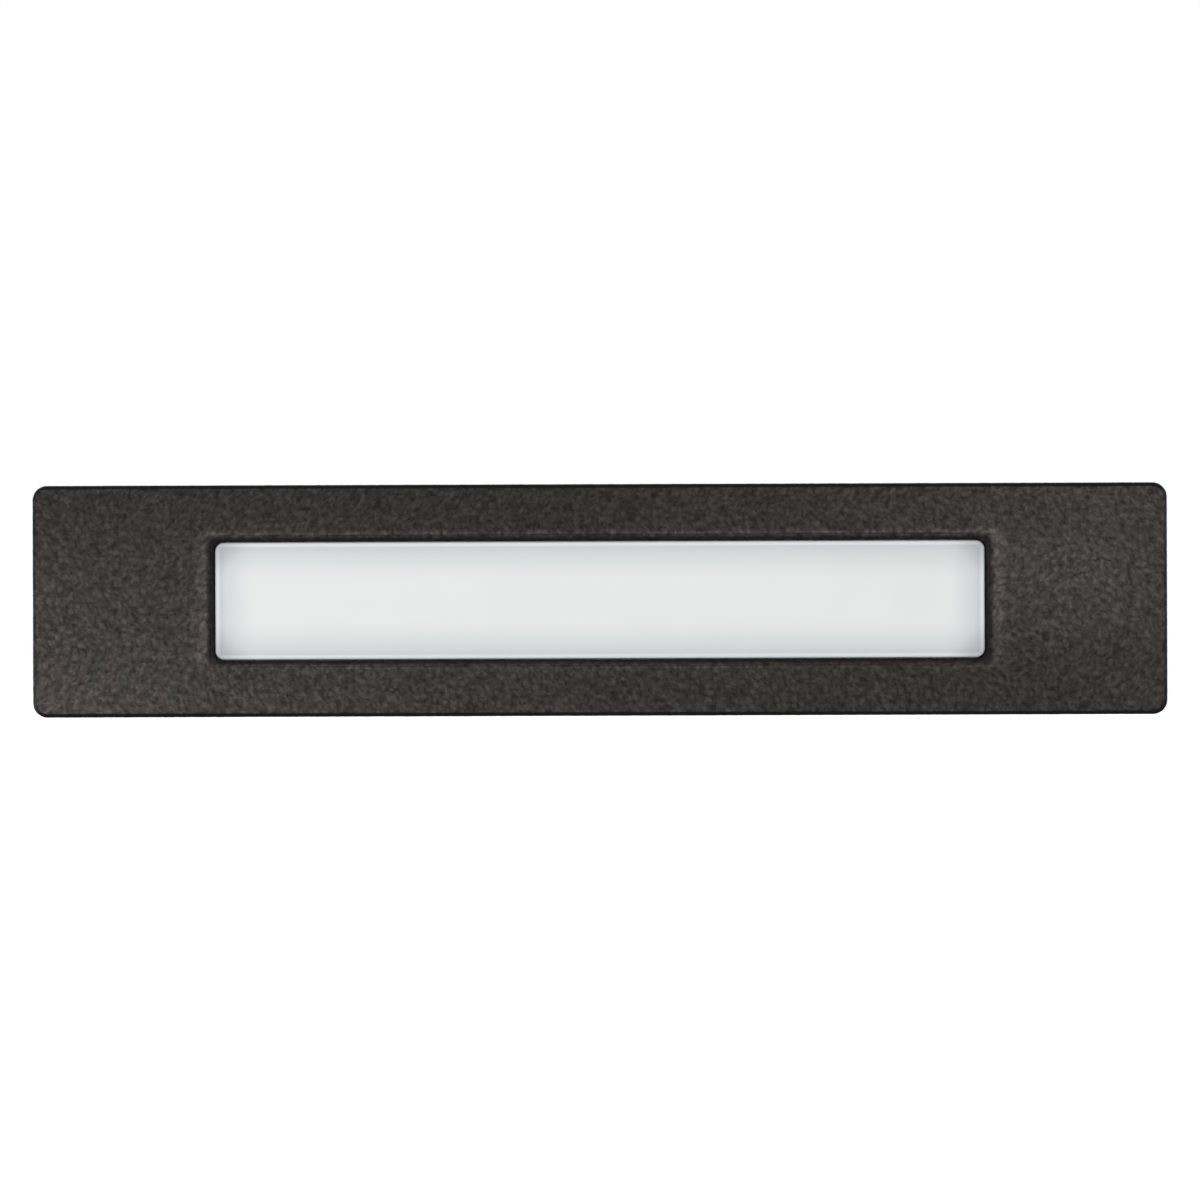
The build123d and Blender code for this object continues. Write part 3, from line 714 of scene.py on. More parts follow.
@dataclass(frozen=True)
class WovenPad(Finish):
    """Heat-conducting silicone on a glass weave."""

    base: Colour = (0.22, 0.25, 0.28)
    pale: Colour = (0.36, 0.39, 0.42)
    stops: Range = (0.1, 0.8)
    thread: float = 0.6 * MM
    thread_depth: float = 0.03 * MM
    cloud: float = 4 * MM
    cloud_gain: Range = (0.9, 1.1)
    rough: Range = (0.78, 0.6)

    def wire(self, shader: Shader) -> None:
        """Wires two crossing sets of threads.

        Args:
            shader: The material's tree.
        """
        weave = shader.math("MULTIPLY", *[shader.waves(shader.axis(letter), self.thread) for letter in "XZ"])
        cloud = shader.span(shader.noise(self.cloud), NOISE_SPREAD, self.cloud_gain)
        colour = shader.dim(shader.ramp(weave, self.stops, (self.base, self.pale)), cloud)
        shader.cover(colour, shader.span(weave, UNIT, self.rough), weave, self.thread_depth)


BRONZE = FaceCoat("bronze_face_coat", Slot.BRONZE_COAT)
BRONZE_INSIDE = CastCoat("bronze_inside_coat", Slot.BRONZE_COAT)
BOX_COAT = CastCoat(
    "cast_box_coat",
    Slot.BOX_COAT,
    deep=(0.02, 0.0178, 0.0163),
    base=(0.04, 0.036, 0.0333),
    pale=(0.062, 0.0562, 0.0525),
    grain=0.8 * MM,
    grain_depth=0.09 * MM,
    speck=0.25 * MM,
)
OPAL = FrostedLens("opal_lens", Slot.FROSTED_LENS)
WHITE_RUBBER = Silicone("white_rubber", Slot.WHITE_SILICONE, (0.62, 0.63, 0.62), (0.74, 0.75, 0.74))
BLACK_RUBBER = Silicone("black_rubber", Slot.BLACK_SILICONE)
STAINLESS = BrushedSheet("brushed_stainless", Slot.STAINLESS_SHEET)
SPRING_STEEL = BrushedSheet(
    "spring_leaf",
    Slot.STAINLESS_SHEET,
    (0.46, 0.455, 0.44),
    (0.60, 0.59, 0.575),
    strokes=(0.12 * MM, 14 * MM, 0.12 * MM),
)
ZINC_SCREW = PlatedMetal("zinc_screw", Slot.STEEL_SCREWS)
NICKEL_PLUG = TurnedMetal(
    "nickel_plug", Slot.PLUG_METAL, (0.44, 0.41, 0.355), (0.495, 0.465, 0.405), rough=(0.28, 0.38)
)
BRASS = PlatedMetal("terminal_brass_turned", Slot.TERMINAL_BRASS, (0.58, 0.41, 0.15), (0.72, 0.54, 0.24))
SOLDER = PlatedMetal("tinned_pad", Slot.BOARD_WHITE, (0.60, 0.60, 0.59), (0.74, 0.74, 0.73))
NYLON = MouldedPlastic("black_nylon", Slot.GLAND_NYLON)
DRIVER_SHELL = MouldedPlastic(
    "driver_shell",
    Slot.DRIVER_PLASTIC,
    (0.026, 0.026, 0.029),
    (0.04, 0.04, 0.043),
    grain=0.5 * MM,
    depth=0.03 * MM,
)
IVORY = MouldedPlastic(
    "ivory_moulding", Slot.IVORY_PLASTIC, (0.68, 0.63, 0.51), (0.76, 0.71, 0.6), depth=0.008 * MM
)
LED_BODY = MouldedPlastic(
    "led_body_white",
    Slot.LED_PHOSPHOR,
    (0.76, 0.76, 0.74),
    (0.84, 0.84, 0.82),
    grain=0.1 * MM,
    depth=0.004 * MM,
)
PHOSPHOR = PhosphorGel("phosphor_gel", Slot.LED_PHOSPHOR)
TRAY_ENAMEL = Enamel("tray_enamel", Slot.TRAY_WHITE)
MASK = BoardMask("board_mask", Slot.BOARD_WHITE)
PAD = WovenPad("woven_heat_pad", Slot.HEAT_PAD)
RED_JACKET = MouldedPlastic("jacket_red", Slot.LEAD_RED, (0.38, 0.016, 0.016), (0.5, 0.03, 0.026))
BLACK_JACKET = MouldedPlastic("jacket_black", Slot.LEAD_BLACK, (0.013, 0.013, 0.014))
BROWN_JACKET = MouldedPlastic("jacket_brown", Slot.LEAD_BROWN, (0.11, 0.042, 0.017), (0.16, 0.065, 0.028))
BLUE_JACKET = MouldedPlastic("jacket_blue", Slot.LEAD_BLUE, (0.017, 0.075, 0.3), (0.027, 0.11, 0.4))


def cad_copy(node: str, join_flats: bool = True) -> BMesh:
    """Copies a CAD node's mesh and closes its seams.

    Args:
        node: The node's name.
        join_flats: Whether triangles in one plane become one face.

    Returns:
        The copy, merged.
    """
    bm = bmesh.new()
    bm.from_mesh(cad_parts[node].data)
    bmesh.ops.remove_doubles(bm, verts=bm.verts, dist=WELD)
    if join_flats:
        bmesh.ops.dissolve_limit(bm, angle_limit=FLAT_ANGLE, verts=bm.verts, edges=bm.edges)
    return bm


def bevel(bm: BMesh, edges: Sequence[BMEdge], reach: float, segments: int = 2, clamp: bool = False) -> None:
    """Rounds edges, or cuts them straight with one segment.

    Args:
        bm: The mesh.
        edges: The edges.
        reach: How far the rounding reaches from each edge.
        segments: Faces across the rounding.
        clamp: Whether it reaches less far where there is no room.
    """
    bmesh.ops.bevel(
        bm,
        geom=edges,
        offset=reach,
        offset_type="OFFSET",
        segments=segments,
        profile=0.5,
        affect="EDGES",
        clamp_overlap=clamp,
        material=-1,
    )


def round_edges(bm: BMesh, reach: float) -> None:
    """Rounds all the sharp edges of a mesh, as far from each as there is room for."""
    sharp = [edge for edge in bm.edges if edge.is_manifold and edge.calc_face_angle() > SHARP_ANGLE]
    bevel(bm, sharp, reach, clamp=True)


def add_block(bm: BMesh, centre: Sequence[float], size: Sequence[float], edge: float = 0.0) -> list[BMFace]:
    """Adds a block with rounded edges to a mesh.

    Args:
        bm: The mesh.
        centre: The block's centre.
        size: Its length along each axis.
        edge: How far its edges are rounded.

    Returns:
        The block's faces.
    """
    before = set(bm.faces)
    matrix = Matrix.Translation(centre) @ Matrix.Diagonal((*size, 1.0))
    verts = bmesh.ops.create_cube(bm, size=1.0, matrix=matrix)["verts"]
    if edge:
        bevel(bm, list({run for vert in verts for run in vert.link_edges}), edge)
    return [face for face in bm.faces if face not in before]


def add_ring(bm: BMesh, profile: Sequence[Range], centre: Sequence[float], axis: Triple, steps: int) -> None:
    """Spins a closed profile round an axis and adds the ring to a mesh.

    Args:
        bm: The mesh.
        profile: Points as (radius, distance along the axis from the centre), in order round the profile.
        centre: Point on the axis.
        axis: The axis's direction.
        steps: Faces round the ring.
    """
    along = Vector(axis).normalized()
    out = along.orthogonal().normalized()
    middle = Vector(centre)
    verts = [bm.verts.new(middle + out * radius + along * height) for radius, height in profile]
    edges = [bm.edges.new(pair) for pair in zip(verts, verts[1:] + verts[:1])]
    before = set(bm.faces)
    bmesh.ops.spin(
        bm,
        geom=verts + edges,
        cent=middle,
        axis=along,
        dvec=(0, 0, 0),
        angle=2 * pi,
        steps=steps,
        use_merge=True,
    )
    bmesh.ops.recalc_face_normals(bm, faces=[face for face in bm.faces if face not in before])


def dress(finish: Finish, *nodes: str) -> None:
    """Gives CAD nodes that stay as they are their finish.

    Args:
        finish: The finish.
        nodes: The nodes' names.
    """
    for node in nodes:
        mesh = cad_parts[node].data
        mesh.materials.clear()
        mesh.materials.append(finish.material())
        log.info("%s: kept, in %s", node, finish.name)


def inside_by(point: Vector, half_x: float, half_z: float, radius: float) -> float:
    """How far a point lies inside an upright rounded rectangle round the origin.

    Args:
        point: The point.
        half_x: Half the rectangle's length.
        half_z: Half its height.
        radius: Radius of its corners.

    Returns:
        The distance to its outline, negative outside it.
    """
    over_x = abs(point.x) - (half_x - radius)
    over_z = abs(point.z) - (half_z - radius)
    return radius - hypot(max(over_x, 0.0), max(over_z, 0.0)) - min(max(over_x, over_z), 0.0)


def ease(value: float, low: float, high: float) -> float:
    """0 up to the low end, 1 from the high end, and smooth between them."""
    share = min(max((value - low) / (high - low), 0.0), 1.0)
    return share * share * (3.0 - 2.0 * share)


@dataclass
class SubAssembly:
    """Pieces of the light that ride on one body and are built together."""

    body: Body

    def build(self) -> None:
        """Builds and dresses the pieces."""
        raise NotImplementedError

    def add_piece(self, bm: BMesh, name: str, finishes: Sequence[Finish], *nodes: str) -> None:
        """Makes a finished object of a mesh, links it to the scene and parents it to its body.

        Args:
            bm: The mesh, which is freed.
            name: The piece's name.
            finishes: Its finishes, in the order of its material indices.
            nodes: CAD nodes that it stands for.
        """
        mesh = bpy.data.meshes.new(name)
        bm.to_mesh(mesh)
        bm.free()
        mesh.shade_smooth()
        mesh.set_sharp_from_angle(angle=SMOOTH_ANGLE)
        for finish in finishes:
            mesh.materials.append(finish.material())
        obj = bpy.data.objects.new(name, mesh)
        bpy.context.scene.collection.objects.link(obj)
        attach(obj, self.body.value)
        if nodes:
            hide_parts(*nodes)
        carried = ", ".join(nodes) or "no node"
        log.info("%s: %d faces, on %s, for %s", name, len(mesh.polygons), self.body.value, carried)

    def add_softened(self, node: str, name: str, finish: Finish, edge: float) -> None:
        """Makes a piece of a CAD node with softened edges.

        Args:
            node: The node's name.
            name: The piece's name.
            finish: Its finish.
            edge: How far its edges are rounded.
        """
        bm = cad_copy(node)
        round_edges(bm, edge)
        self.add_piece(bm, name, [finish], node)


@dataclass
class FacePlate(SubAssembly):
    """The cast face plate with its pebbled coat, and the gasket behind it."""

    body: Body = Body.FACE
    corner_radius: float = 3.6 * MM
    skirt_wall: float = 2.5 * MM
    window_length: float = 190.0 * MM
    window_height: float = 29.3 * MM

    # Which way faces that show are turned, and the squares that they are cut into
    level: float = 0.001
    back_lean: float = 0.5
    straight: float = 0.9999
    cut_pitch: float = 0.6 * MM
    sliver: float = 0.005 * MM

    # Painted shade in a dark band round the window, from the shoulder inwards
    shoulder_corner: float = 1.8 * MM
    shade_ends: float = 1.9 * MM
    shade_sides: float = 1.4 * MM
    shade_share: float = 0.75
    shade_start: Range = (0.1 * MM, 0.9 * MM)

    # Painted highlight line round the window, from the shoulder outwards
    line_sides: float = 1.4 * MM
    line_ends: float = 4.2 * MM
    highlight_line_share: float = 0.41
    highlight_line_skew: float = 0.48
    line_start: Range = (-0.2 * MM, 0.2 * MM)
    line_core: float = 0.3
    line_lean: Range = (0.97, 0.999)

    # Painted shade on the plate's outer rounded edge, by how far the surface leans, less at the two ends
    upright: float = 0.01
    edge_shade_start: Range = (0.04, 0.34)
    edge_shade_stop: Range = (0.96, 1.0)
    end_edge_shade_share: float = 0.45
    end_edge_power: int = 4

    # Pebbles of the coat
    pebble: float = 1.6 * MM
    pebble_depth: float = 0.15 * MM
    pebble_front: float = 0.02
    pebble_rim: float = 0.01 * MM
    groove_width: float = 0.45
    groove_share: float = 0.45
    swell_pebbles: float = 0.8
    swell_gain: float = 0.9
    swell_level: float = 0.3
    swell_roughness: float = 1.0
    swell_ratio: float = 2.0
    swell_layers: int = 2
    worn_lean: Range = (0.05, 0.5)
    worn_share: float = 0.5

    @cached_property
    def corner(self) -> Vector:
        """The plate's corner with the greatest X, Y and Z."""
        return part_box("faceplate")[1]

    def build(self) -> None:
        """Builds the casting and dresses the gasket."""
        bm = cad_copy("faceplate", join_flats=False)
        coated = [face for face in bm.faces if self.shows(face)]
        for face in set(bm.faces).difference(coated):
            face.material_index = 1
        for axis in (2, 0, 1):
            coated = self.slice_faces(bm, coated, axis)
        self.join_slivers(bm, coated)
        self.mark_edges(bm)
        self.pebble_coat(bm)
        self.add_piece(bm, "face_casting", [BRONZE, BRONZE_INSIDE], "faceplate")
        dress(BLACK_RUBBER, "face_gasket")

    def shows(self, face: BMFace) -> bool:
        """Whether a face shows from outside: on the front, its rounded edges or the skirt.

        Args:
            face: The face.

        Returns:
            Whether it shows.
        """
        middle = face.calc_center_median()
        reach = self.skirt_wall / 2
        outer = abs(middle.x) > self.corner.x - reach or abs(middle.z) > self.corner.z - reach
        return face.normal.y < -self.level or (outer and abs(face.normal.y) < self.level)

    def slice_faces(self, bm: BMesh, faces: list[BMFace], axis: int) -> list[BMFace]:
        """Cuts faces by evenly spaced planes across one axis.

        Args:
            bm: The mesh.
            faces: The faces to cut.
            axis: 0 to cut across X, 1 across Y, 2 across Z.

        Returns:
            All the faces after the cuts.
        """
        normal = Vector((axis == 0, axis == 1, axis == 2))
        places = [vert.co[axis] for face in faces for vert in face.verts]
        low, high = min(places), max(places)
        count = round((high - low) / self.cut_pitch)
        done: list[BMFace] = []
        ahead = faces
        for step in range(1, count):
            place = low + (high - low) * step / count
            edges = {edge for face in ahead for edge in face.edges}
            verts = {vert for face in ahead for vert in face.verts}
            cut = bmesh.ops.bisect_plane(
                bm, geom=[*ahead, *edges, *verts], dist=2 * WELD, plane_co=normal * place, plane_no=normal
            )
            after = [item for item in cut["geom"] if isinstance(item, BMFace)]
            ahead = []
            for face in after:
                beyond = face.calc_center_median()[axis] > place
                (ahead if beyond else done).append(face)
        return done + ahead

    def join_slivers(self, bm: BMesh, faces: list[BMFace]) -> None:
        """Removes slanted edges within the flat front and slivers anywhere, so that the cuts leave squares.

        Args:
            bm: The mesh.
            faces: The faces that were cut.
        """
        flat = {face for face in faces if face.is_valid and face.normal.y < -self.straight}
        slanted = []
        for edge in {edge for face in flat for edge in face.edges}:
            run = (edge.verts[1].co - edge.verts[0].co).normalized()
            inner = all(face in flat for face in edge.link_faces)
            if inner and max(abs(run.x), abs(run.z)) < self.straight:
                slanted.append(edge)
        bmesh.ops.dissolve_edges(bm, edges=slanted, use_verts=True)
        bmesh.ops.dissolve_degenerate(bm, dist=self.sliver, edges=bm.edges)

    def from_shoulder(self, point: Vector) -> float:
        """How far a point lies outside the shoulder, where the window's edge starts to round.

        Args:
            point: The point.

        Returns:
            The distance, negative inside the shoulder.
        """
        half_x = self.window_length / 2 + self.shade_ends
        half_z = self.window_height / 2 + self.shade_sides
        return -inside_by(point, half_x, half_z, self.shoulder_corner)

    def outer_edge_shade(self, normal: Vector) -> float:
        """How much painted shade darkens the plate's outer rounded edge, less at the two ends.

        Args:
            normal: The surface's direction.

        Returns:
            The painted shade, from 0 to 1.
        """
        lean = hypot(normal.x, normal.z)
        if lean < self.upright:
            return 0.0
        share = 1.0 - (1.0 - self.end_edge_shade_share) * (normal.x / lean) ** self.end_edge_power
        return share * ease(lean, *self.edge_shade_start) * (1.0 - ease(lean, *self.edge_shade_stop))

    def painted_highlight_line(self, point: Vector) -> float:
        """How strong the painted highlight is outside the shoulder: most above the window, widest at its
        ends.

        Args:
            point: The point.

        Returns:
            The painted highlight, from 0 up.
        """
        away = self.from_shoulder(point)
        beside = max(abs(point.x) - self.window_length / 2, 0.0)
        above = max(abs(point.z) - self.window_height / 2, 0.0)
        reach = max(hypot(beside, above), WELD)
        upwards = above / reach if point.z > 0 else -above / reach
        width = self.line_sides + (self.line_ends - self.line_sides) * beside / reach
        band = ease(away, *self.line_start) * (1.0 - ease(away, self.line_core * width, width))
        return self.highlight_line_share * band * (1.0 + self.highlight_line_skew * upwards)

    def mark_edges(self, bm: BMesh) -> None:
        """Marks painted shade on the rounded edges and round the window, and a painted highlight line round
        the window, for the coat.

        Args:
            bm: The mesh.
        """
        bm.normal_update()
        rounded = bm.verts.layers.float.new(Mark.EDGE_SHADE.value)
        line = bm.verts.layers.float.new(Mark.HIGHLIGHT_LINE.value)
        for vert in bm.verts:
            if vert.normal.y > self.back_lean:
                continue
            inwards = -self.from_shoulder(vert.co)
            # Inside the shoulder: painted shade in the band round the window; outside it: painted shade on
            # the outer edge and the painted highlight line
            if inwards > 0.0:
                vert[rounded] = self.shade_share * ease(inwards, *self.shade_start)
            else:
                vert[rounded] = self.outer_edge_shade(vert.normal)
                vert[line] = self.painted_highlight_line(vert.co) * ease(-vert.normal.y, *self.line_lean)

    def pit_at(self, point: Vector) -> float:
        """How deep the coat lies at a point.

        Args:
            point: The point.

        Returns:
            The depth, from 0 on a pebble to 1 in a pit.
        """
        nearest, second = noise.voronoi(point / self.pebble)[0][:2]
        groove = 1.0 - ease(second - nearest, 0.0, self.groove_width)
        place = point / (self.swell_pebbles * self.pebble)
        wave = noise.fractal(place, self.swell_roughness, self.swell_ratio, self.swell_layers)
        swell = 0.5 - 0.5 * wave
        return min(max(self.groove_share * groove + self.swell_gain * (swell - self.swell_level), 0.0), 1.0)

    def sunk_by(self, vert: BMVert, pit: float) -> Vector:
        """How far a point of the coat sinks into its pit, less on a worn, rounded edge.

        Args:
            vert: The point.
            pit: How deep its pit is, from 0 to 1.

        Returns:
            The move along the surface's own normal.
        """
        worn = ease(hypot(vert.normal.x, vert.normal.z), *self.worn_lean)
        return vert.normal * (-self.pebble_depth * pit * (1.0 - self.worn_share * worn))

    def pebble_coat(self, bm: BMesh) -> None:
        """Sinks the coat between its pebbles and marks its pits.

        Args:
            bm: The mesh.
        """
        pit = bm.verts.layers.float.new(Mark.PIT.value)
        moves = []
        for vert in bm.verts:
            rim = inside_by(vert.co, self.corner.x, self.corner.z, self.corner_radius)
            if vert.normal.y < -self.pebble_front or rim < self.pebble_rim:
                vert[pit] = self.pit_at(vert.co)
                moves.append((vert, self.sunk_by(vert, vert[pit])))
        for vert, move in moves:
            vert.co += move
        log.info("face coat: %d points pebbled", len(moves))


@dataclass
class LensUnit(SubAssembly):
    """The frosted lens, its gasket and the sheet frame that holds it."""

    body: Body = Body.FACE
    frame_edge: float = 0.2 * MM

    def build(self) -> None:
        """Builds the lens and the frame, and dresses what stays."""
        self.add_piece(cad_copy("lens"), "lens_moulding", [OPAL], "lens")
        self.add_softened("lens_frame", "lens_frame_sheet", STAINLESS, self.frame_edge)
        dress(WHITE_RUBBER, "lens_gasket")
        dress(ZINC_SCREW, "lens_frame_screws")


@dataclass
class SpringClips(SubAssembly):
    """The two bent leaves that hold the face plate in the box."""

    body: Body = Body.FACE
    edge: float = 0.15 * MM

    def build(self) -> None:
        """Builds both leaves and dresses their screws."""
        for hand in HANDS:
            self.add_softened(f"spring_clip_{hand}", f"spring_leaf_{hand}", SPRING_STEEL, self.edge)
        dress(ZINC_SCREW, "spring_clip_screws")


@dataclass
class BackBox(SubAssembly):
    """The cast box in the wall."""

    body: Body = Body.HOUSING
    edge: float = 0.45 * MM

    def build(self) -> None:
        """Builds the casting with softened edges."""
        self.add_softened("back_box", "box_casting", BOX_COAT, self.edge)


@dataclass
class ConduitPlugs(SubAssembly):
    """The plugs of the two end entries, on their seals."""

    body: Body = Body.HOUSING
    edge: float = 0.2 * MM

    def build(self) -> None:
        """Builds both plugs and dresses their seals."""
        for hand in HANDS:
            self.add_softened(f"end_plug_{hand}", f"plug_{hand}", NICKEL_PLUG, self.edge)
            dress(BLACK_RUBBER, f"plug_seal_{hand}")


@dataclass
class CableGland(SubAssembly):
    """The cable gland at the back."""

    body: Body = Body.HOUSING
    edge: float = 0.3 * MM

    def build(self) -> None:
        """Builds the body, the nut and the seal, and dresses the washer."""
        for node, finish in (("gland_body", NYLON), ("gland_nut", NYLON), ("gland_seal", BLACK_RUBBER)):
            self.add_softened(node, f"{node}_moulding", finish, self.edge)
        dress(BLACK_RUBBER, "gland_washer")


@dataclass
class LedTray(SubAssembly):
    """The white reflector tray with its grommet and screws."""

    body: Body = Body.HOUSING
    edge: float = 0.2 * MM

    def build(self) -> None:
        """Builds the tray and the grommet, and dresses the screws."""
        self.add_softened("led_tray", "tray_pan", TRAY_ENAMEL, self.edge)
        self.add_softened("tray_grommet", "grommet_moulding", BLACK_RUBBER, self.edge)
        dress(ZINC_SCREW, "led_tray_screws")


@dataclass
class LedBoard(SubAssembly):
    """The LED board: mask, tracks, solder pads, LED packages and the lead connector."""

    body: Body = Body.HOUSING
    board_edge: float = 0.12 * MM

    # LED packages
    led_count: int = 12
    led_length: float = 3.5 * MM
    led_width: float = 2.8 * MM
    led_height: float = 0.8 * MM
    led_corner: float = 0.2 * MM
    led_corner_faces: int = 3
    led_notch: float = 0.5 * MM
    bowl_wall: float = 0.4 * MM
    bowl_slope: float = 0.12 * MM
    bowl_depth: float = 0.14 * MM

    # Solder pads and tracks
    pad_length: float = 0.9 * MM
    pad_overlap: float = 0.4 * MM
    pad_height: float = 0.07 * MM
    pad_edge: float = 0.025 * MM
    track_width: float = 1.8 * MM
    track_height: float = 0.035 * MM
    track_edge: float = 0.012 * MM

    # Lead connector with its levers and funnels
    connector_edge: float = 0.25 * MM
    lever_size: Triple = (0.9 * MM, 0.5 * MM, 1.4 * MM)
    lever_inset: float = 0.75 * MM
    lever_depth: float = 0.1 * MM
    lever_edge: float = 0.12 * MM
    lead_spacing: float = 2.5 * MM
    funnel_gap: float = 0.03 * MM
    funnel_mouth: float = 0.18 * MM
    funnel_wall: float = 0.38 * MM
    funnel_height: float = 0.22 * MM
    funnel_root: float = 0.1 * MM
    funnel_faces: int = 28

    def build(self) -> None:
        """Builds everything on the board."""
        self.add_softened("led_board", "board_plate", MASK, self.board_edge)
        dress(PAD, "thermal_pad")
        dress(ZINC_SCREW, "led_board_screws")
        self.build_tracks()
        self.build_leds()
        self.build_connector()

    def led_places(self) -> list[float]:
        """Works out the LEDs' places along the board.

        Returns:
            Each LED's X.
        """
        low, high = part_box("leds")
        pitch = (high.x - low.x - self.led_length) / (self.led_count - 1)
        return [low.x + self.led_length / 2 + pitch * step for step in range(self.led_count)]

    def build_tracks(self) -> None:
        """Builds the tinned pads at each LED and the raised tracks under the mask."""
        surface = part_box("led_board")[0].y
        places = self.led_places()
        reach = (self.led_length + self.pad_length) / 2
        pad = (self.pad_length + self.pad_overlap, self.pad_height, self.led_width)
        pads = bmesh.new()
        for x in places:
            for side in SIDES:
                add_block(pads, (x + side * reach, surface - self.pad_height / 2, 0.0), pad, self.pad_edge)
        self.add_piece(pads, "led_solder_pads", [SOLDER])
        tracks = bmesh.new()
        for first, second in zip(places, places[1:]):
            centre = ((first + second) / 2, surface - self.track_height / 2, 0.0)
            room = second - first - 2 * reach - self.pad_length
            add_block(tracks, centre, (room, self.track_height, self.track_width), self.track_edge)
        self.add_piece(tracks, "board_tracks", [MASK])

    def build_leds(self) -> None:
        """Builds the packages and fills their bowls with phosphor."""
        bm = bmesh.new()
        for x in self.led_places():
            self.add_led(bm, x)
        self.add_piece(bm, "led_packages", [LED_BODY, PHOSPHOR], "leds")

    def add_led(self, bm: BMesh, x: float) -> None:
        """Adds one package: a white block with a notched corner and a rounded bowl.

        Args:
            bm: The mesh.
            x: The package's place along the board.
        """
        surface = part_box("led_board")[0].y
        centre = (x, surface - self.led_height / 2, 0.0)
        faces = add_block(bm, centre, (self.led_length, self.led_height, self.led_width))
        uprights = [edge for edge in {edge for face in faces for edge in face.edges} if self.runs_deep(edge)]
        front = min(faces, key=lambda face: face.calc_center_median().y)
        for thickness, depth in ((self.bowl_wall, 0.0), (self.bowl_slope, -self.bowl_depth)):
            bmesh.ops.inset_individual(
                bm, faces=[front], thickness=thickness, depth=depth, use_even_offset=True
            )
        front.material_index = 1
        slopes = [edge for vert in front.verts for edge in vert.link_edges if self.runs_deep(edge)]
        notched = max(uprights, key=lambda edge: edge.verts[0].co.x + edge.verts[0].co.z)
        rounded = [edge for edge in uprights if edge is not notched]
        bevel(bm, rounded + slopes, self.led_corner, self.led_corner_faces)
        bevel(bm, [notched], self.led_notch, segments=1)

    @staticmethod
    def runs_deep(edge: BMEdge) -> bool:
        """Whether an edge runs from the front towards the board."""
        return abs(edge.verts[0].co.y - edge.verts[1].co.y) > WELD

    def build_connector(self) -> None:
        """Builds the push-in connector: body, release levers and a funnel round each lead."""
        low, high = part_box("board_connector")
        middle = (low + high) / 2
        gaps = (self.funnel_gap, self.funnel_mouth, self.funnel_wall)
        inner, mouth, outer = (LEAD_RADIUS + gap for gap in gaps)
        funnel = [
            (inner, 0.0),
            (mouth, self.funnel_height),
            (outer, self.funnel_height),
            (outer, -self.funnel_root),
            (inner, -self.funnel_root),
        ]
        bm = bmesh.new()
        add_block(bm, middle, high - low, self.connector_edge)
        for side in SIDES:
            z = middle.z + side * self.lead_spacing / 2
            lever = (high.x - self.lever_inset, low.y + self.lever_depth, z)
            add_block(bm, lever, self.lever_size, self.lever_edge)
            add_ring(bm, funnel, (middle.x, low.y, z), (0, -1, 0), self.funnel_faces)
        self.add_piece(bm, "lead_connector", [IVORY], "board_connector")


@dataclass
class DriverUnit(SubAssembly):
    """The potted driver in its case."""

    body: Body = Body.HOUSING
    edge: float = 0.3 * MM
    level: float = 0.999
    lid_margin: float = 2.2 * MM
    lid_height: float = 0.4 * MM
    bush_gap: float = 0.05 * MM
    bush_wall: float = 0.6 * MM
    bush_length: float = 1.4 * MM
    bush_edge: float = 0.3 * MM
    bush_faces: int = 24

    def build(self) -> None:
        """Builds the case with its lid and lead bushes, and dresses the screws."""
        bm = cad_copy("driver_case")
        facing = [face for face in bm.faces if face.normal.y < -self.level]
        corners = [vert.co for vert in max(facing, key=BMFace.calc_area).verts]
        low, high = (Vector(map(pick, zip(*corners))) for pick in (min, max))
        room = high - low
        round_edges(bm, self.edge)
        size = (room.x - 2 * self.lid_margin, 2 * self.lid_height, room.z - 2 * self.lid_margin)
        add_block(bm, (low + high) / 2, size, self.edge)
        self.add_piece(bm, "driver_shell_case", [DRIVER_SHELL], "driver_case")
        self.build_bushes()
        dress(ZINC_SCREW, "driver_screws")

    def build_bushes(self) -> None:
        """Builds a collar round each lead where it leaves the case, the LED leads on its left."""
        inner = LEAD_RADIUS + self.bush_gap
        outer = LEAD_RADIUS + self.bush_wall
        profile = [
            (inner, 0.0),
            (inner, self.bush_length),
            (outer - self.bush_edge, self.bush_length),
            (outer, self.bush_length - self.bush_edge),
            (outer, 0.0),
        ]
        exits = {-1: ("led_lead_red", "led_lead_black"), 1: ("supply_lead_brown", "supply_lead_blue")}
        bm = bmesh.new()
        for side, nodes in exits.items():
            for low, high in map(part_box, nodes):
                case_end = high.x if side < 0 else low.x
                centre = (case_end, high.y - LEAD_RADIUS, high.z - LEAD_RADIUS)
                add_ring(bm, profile, centre, (side, 0, 0), self.bush_faces)
        self.add_piece(bm, "driver_lead_bushes", [DRIVER_SHELL])


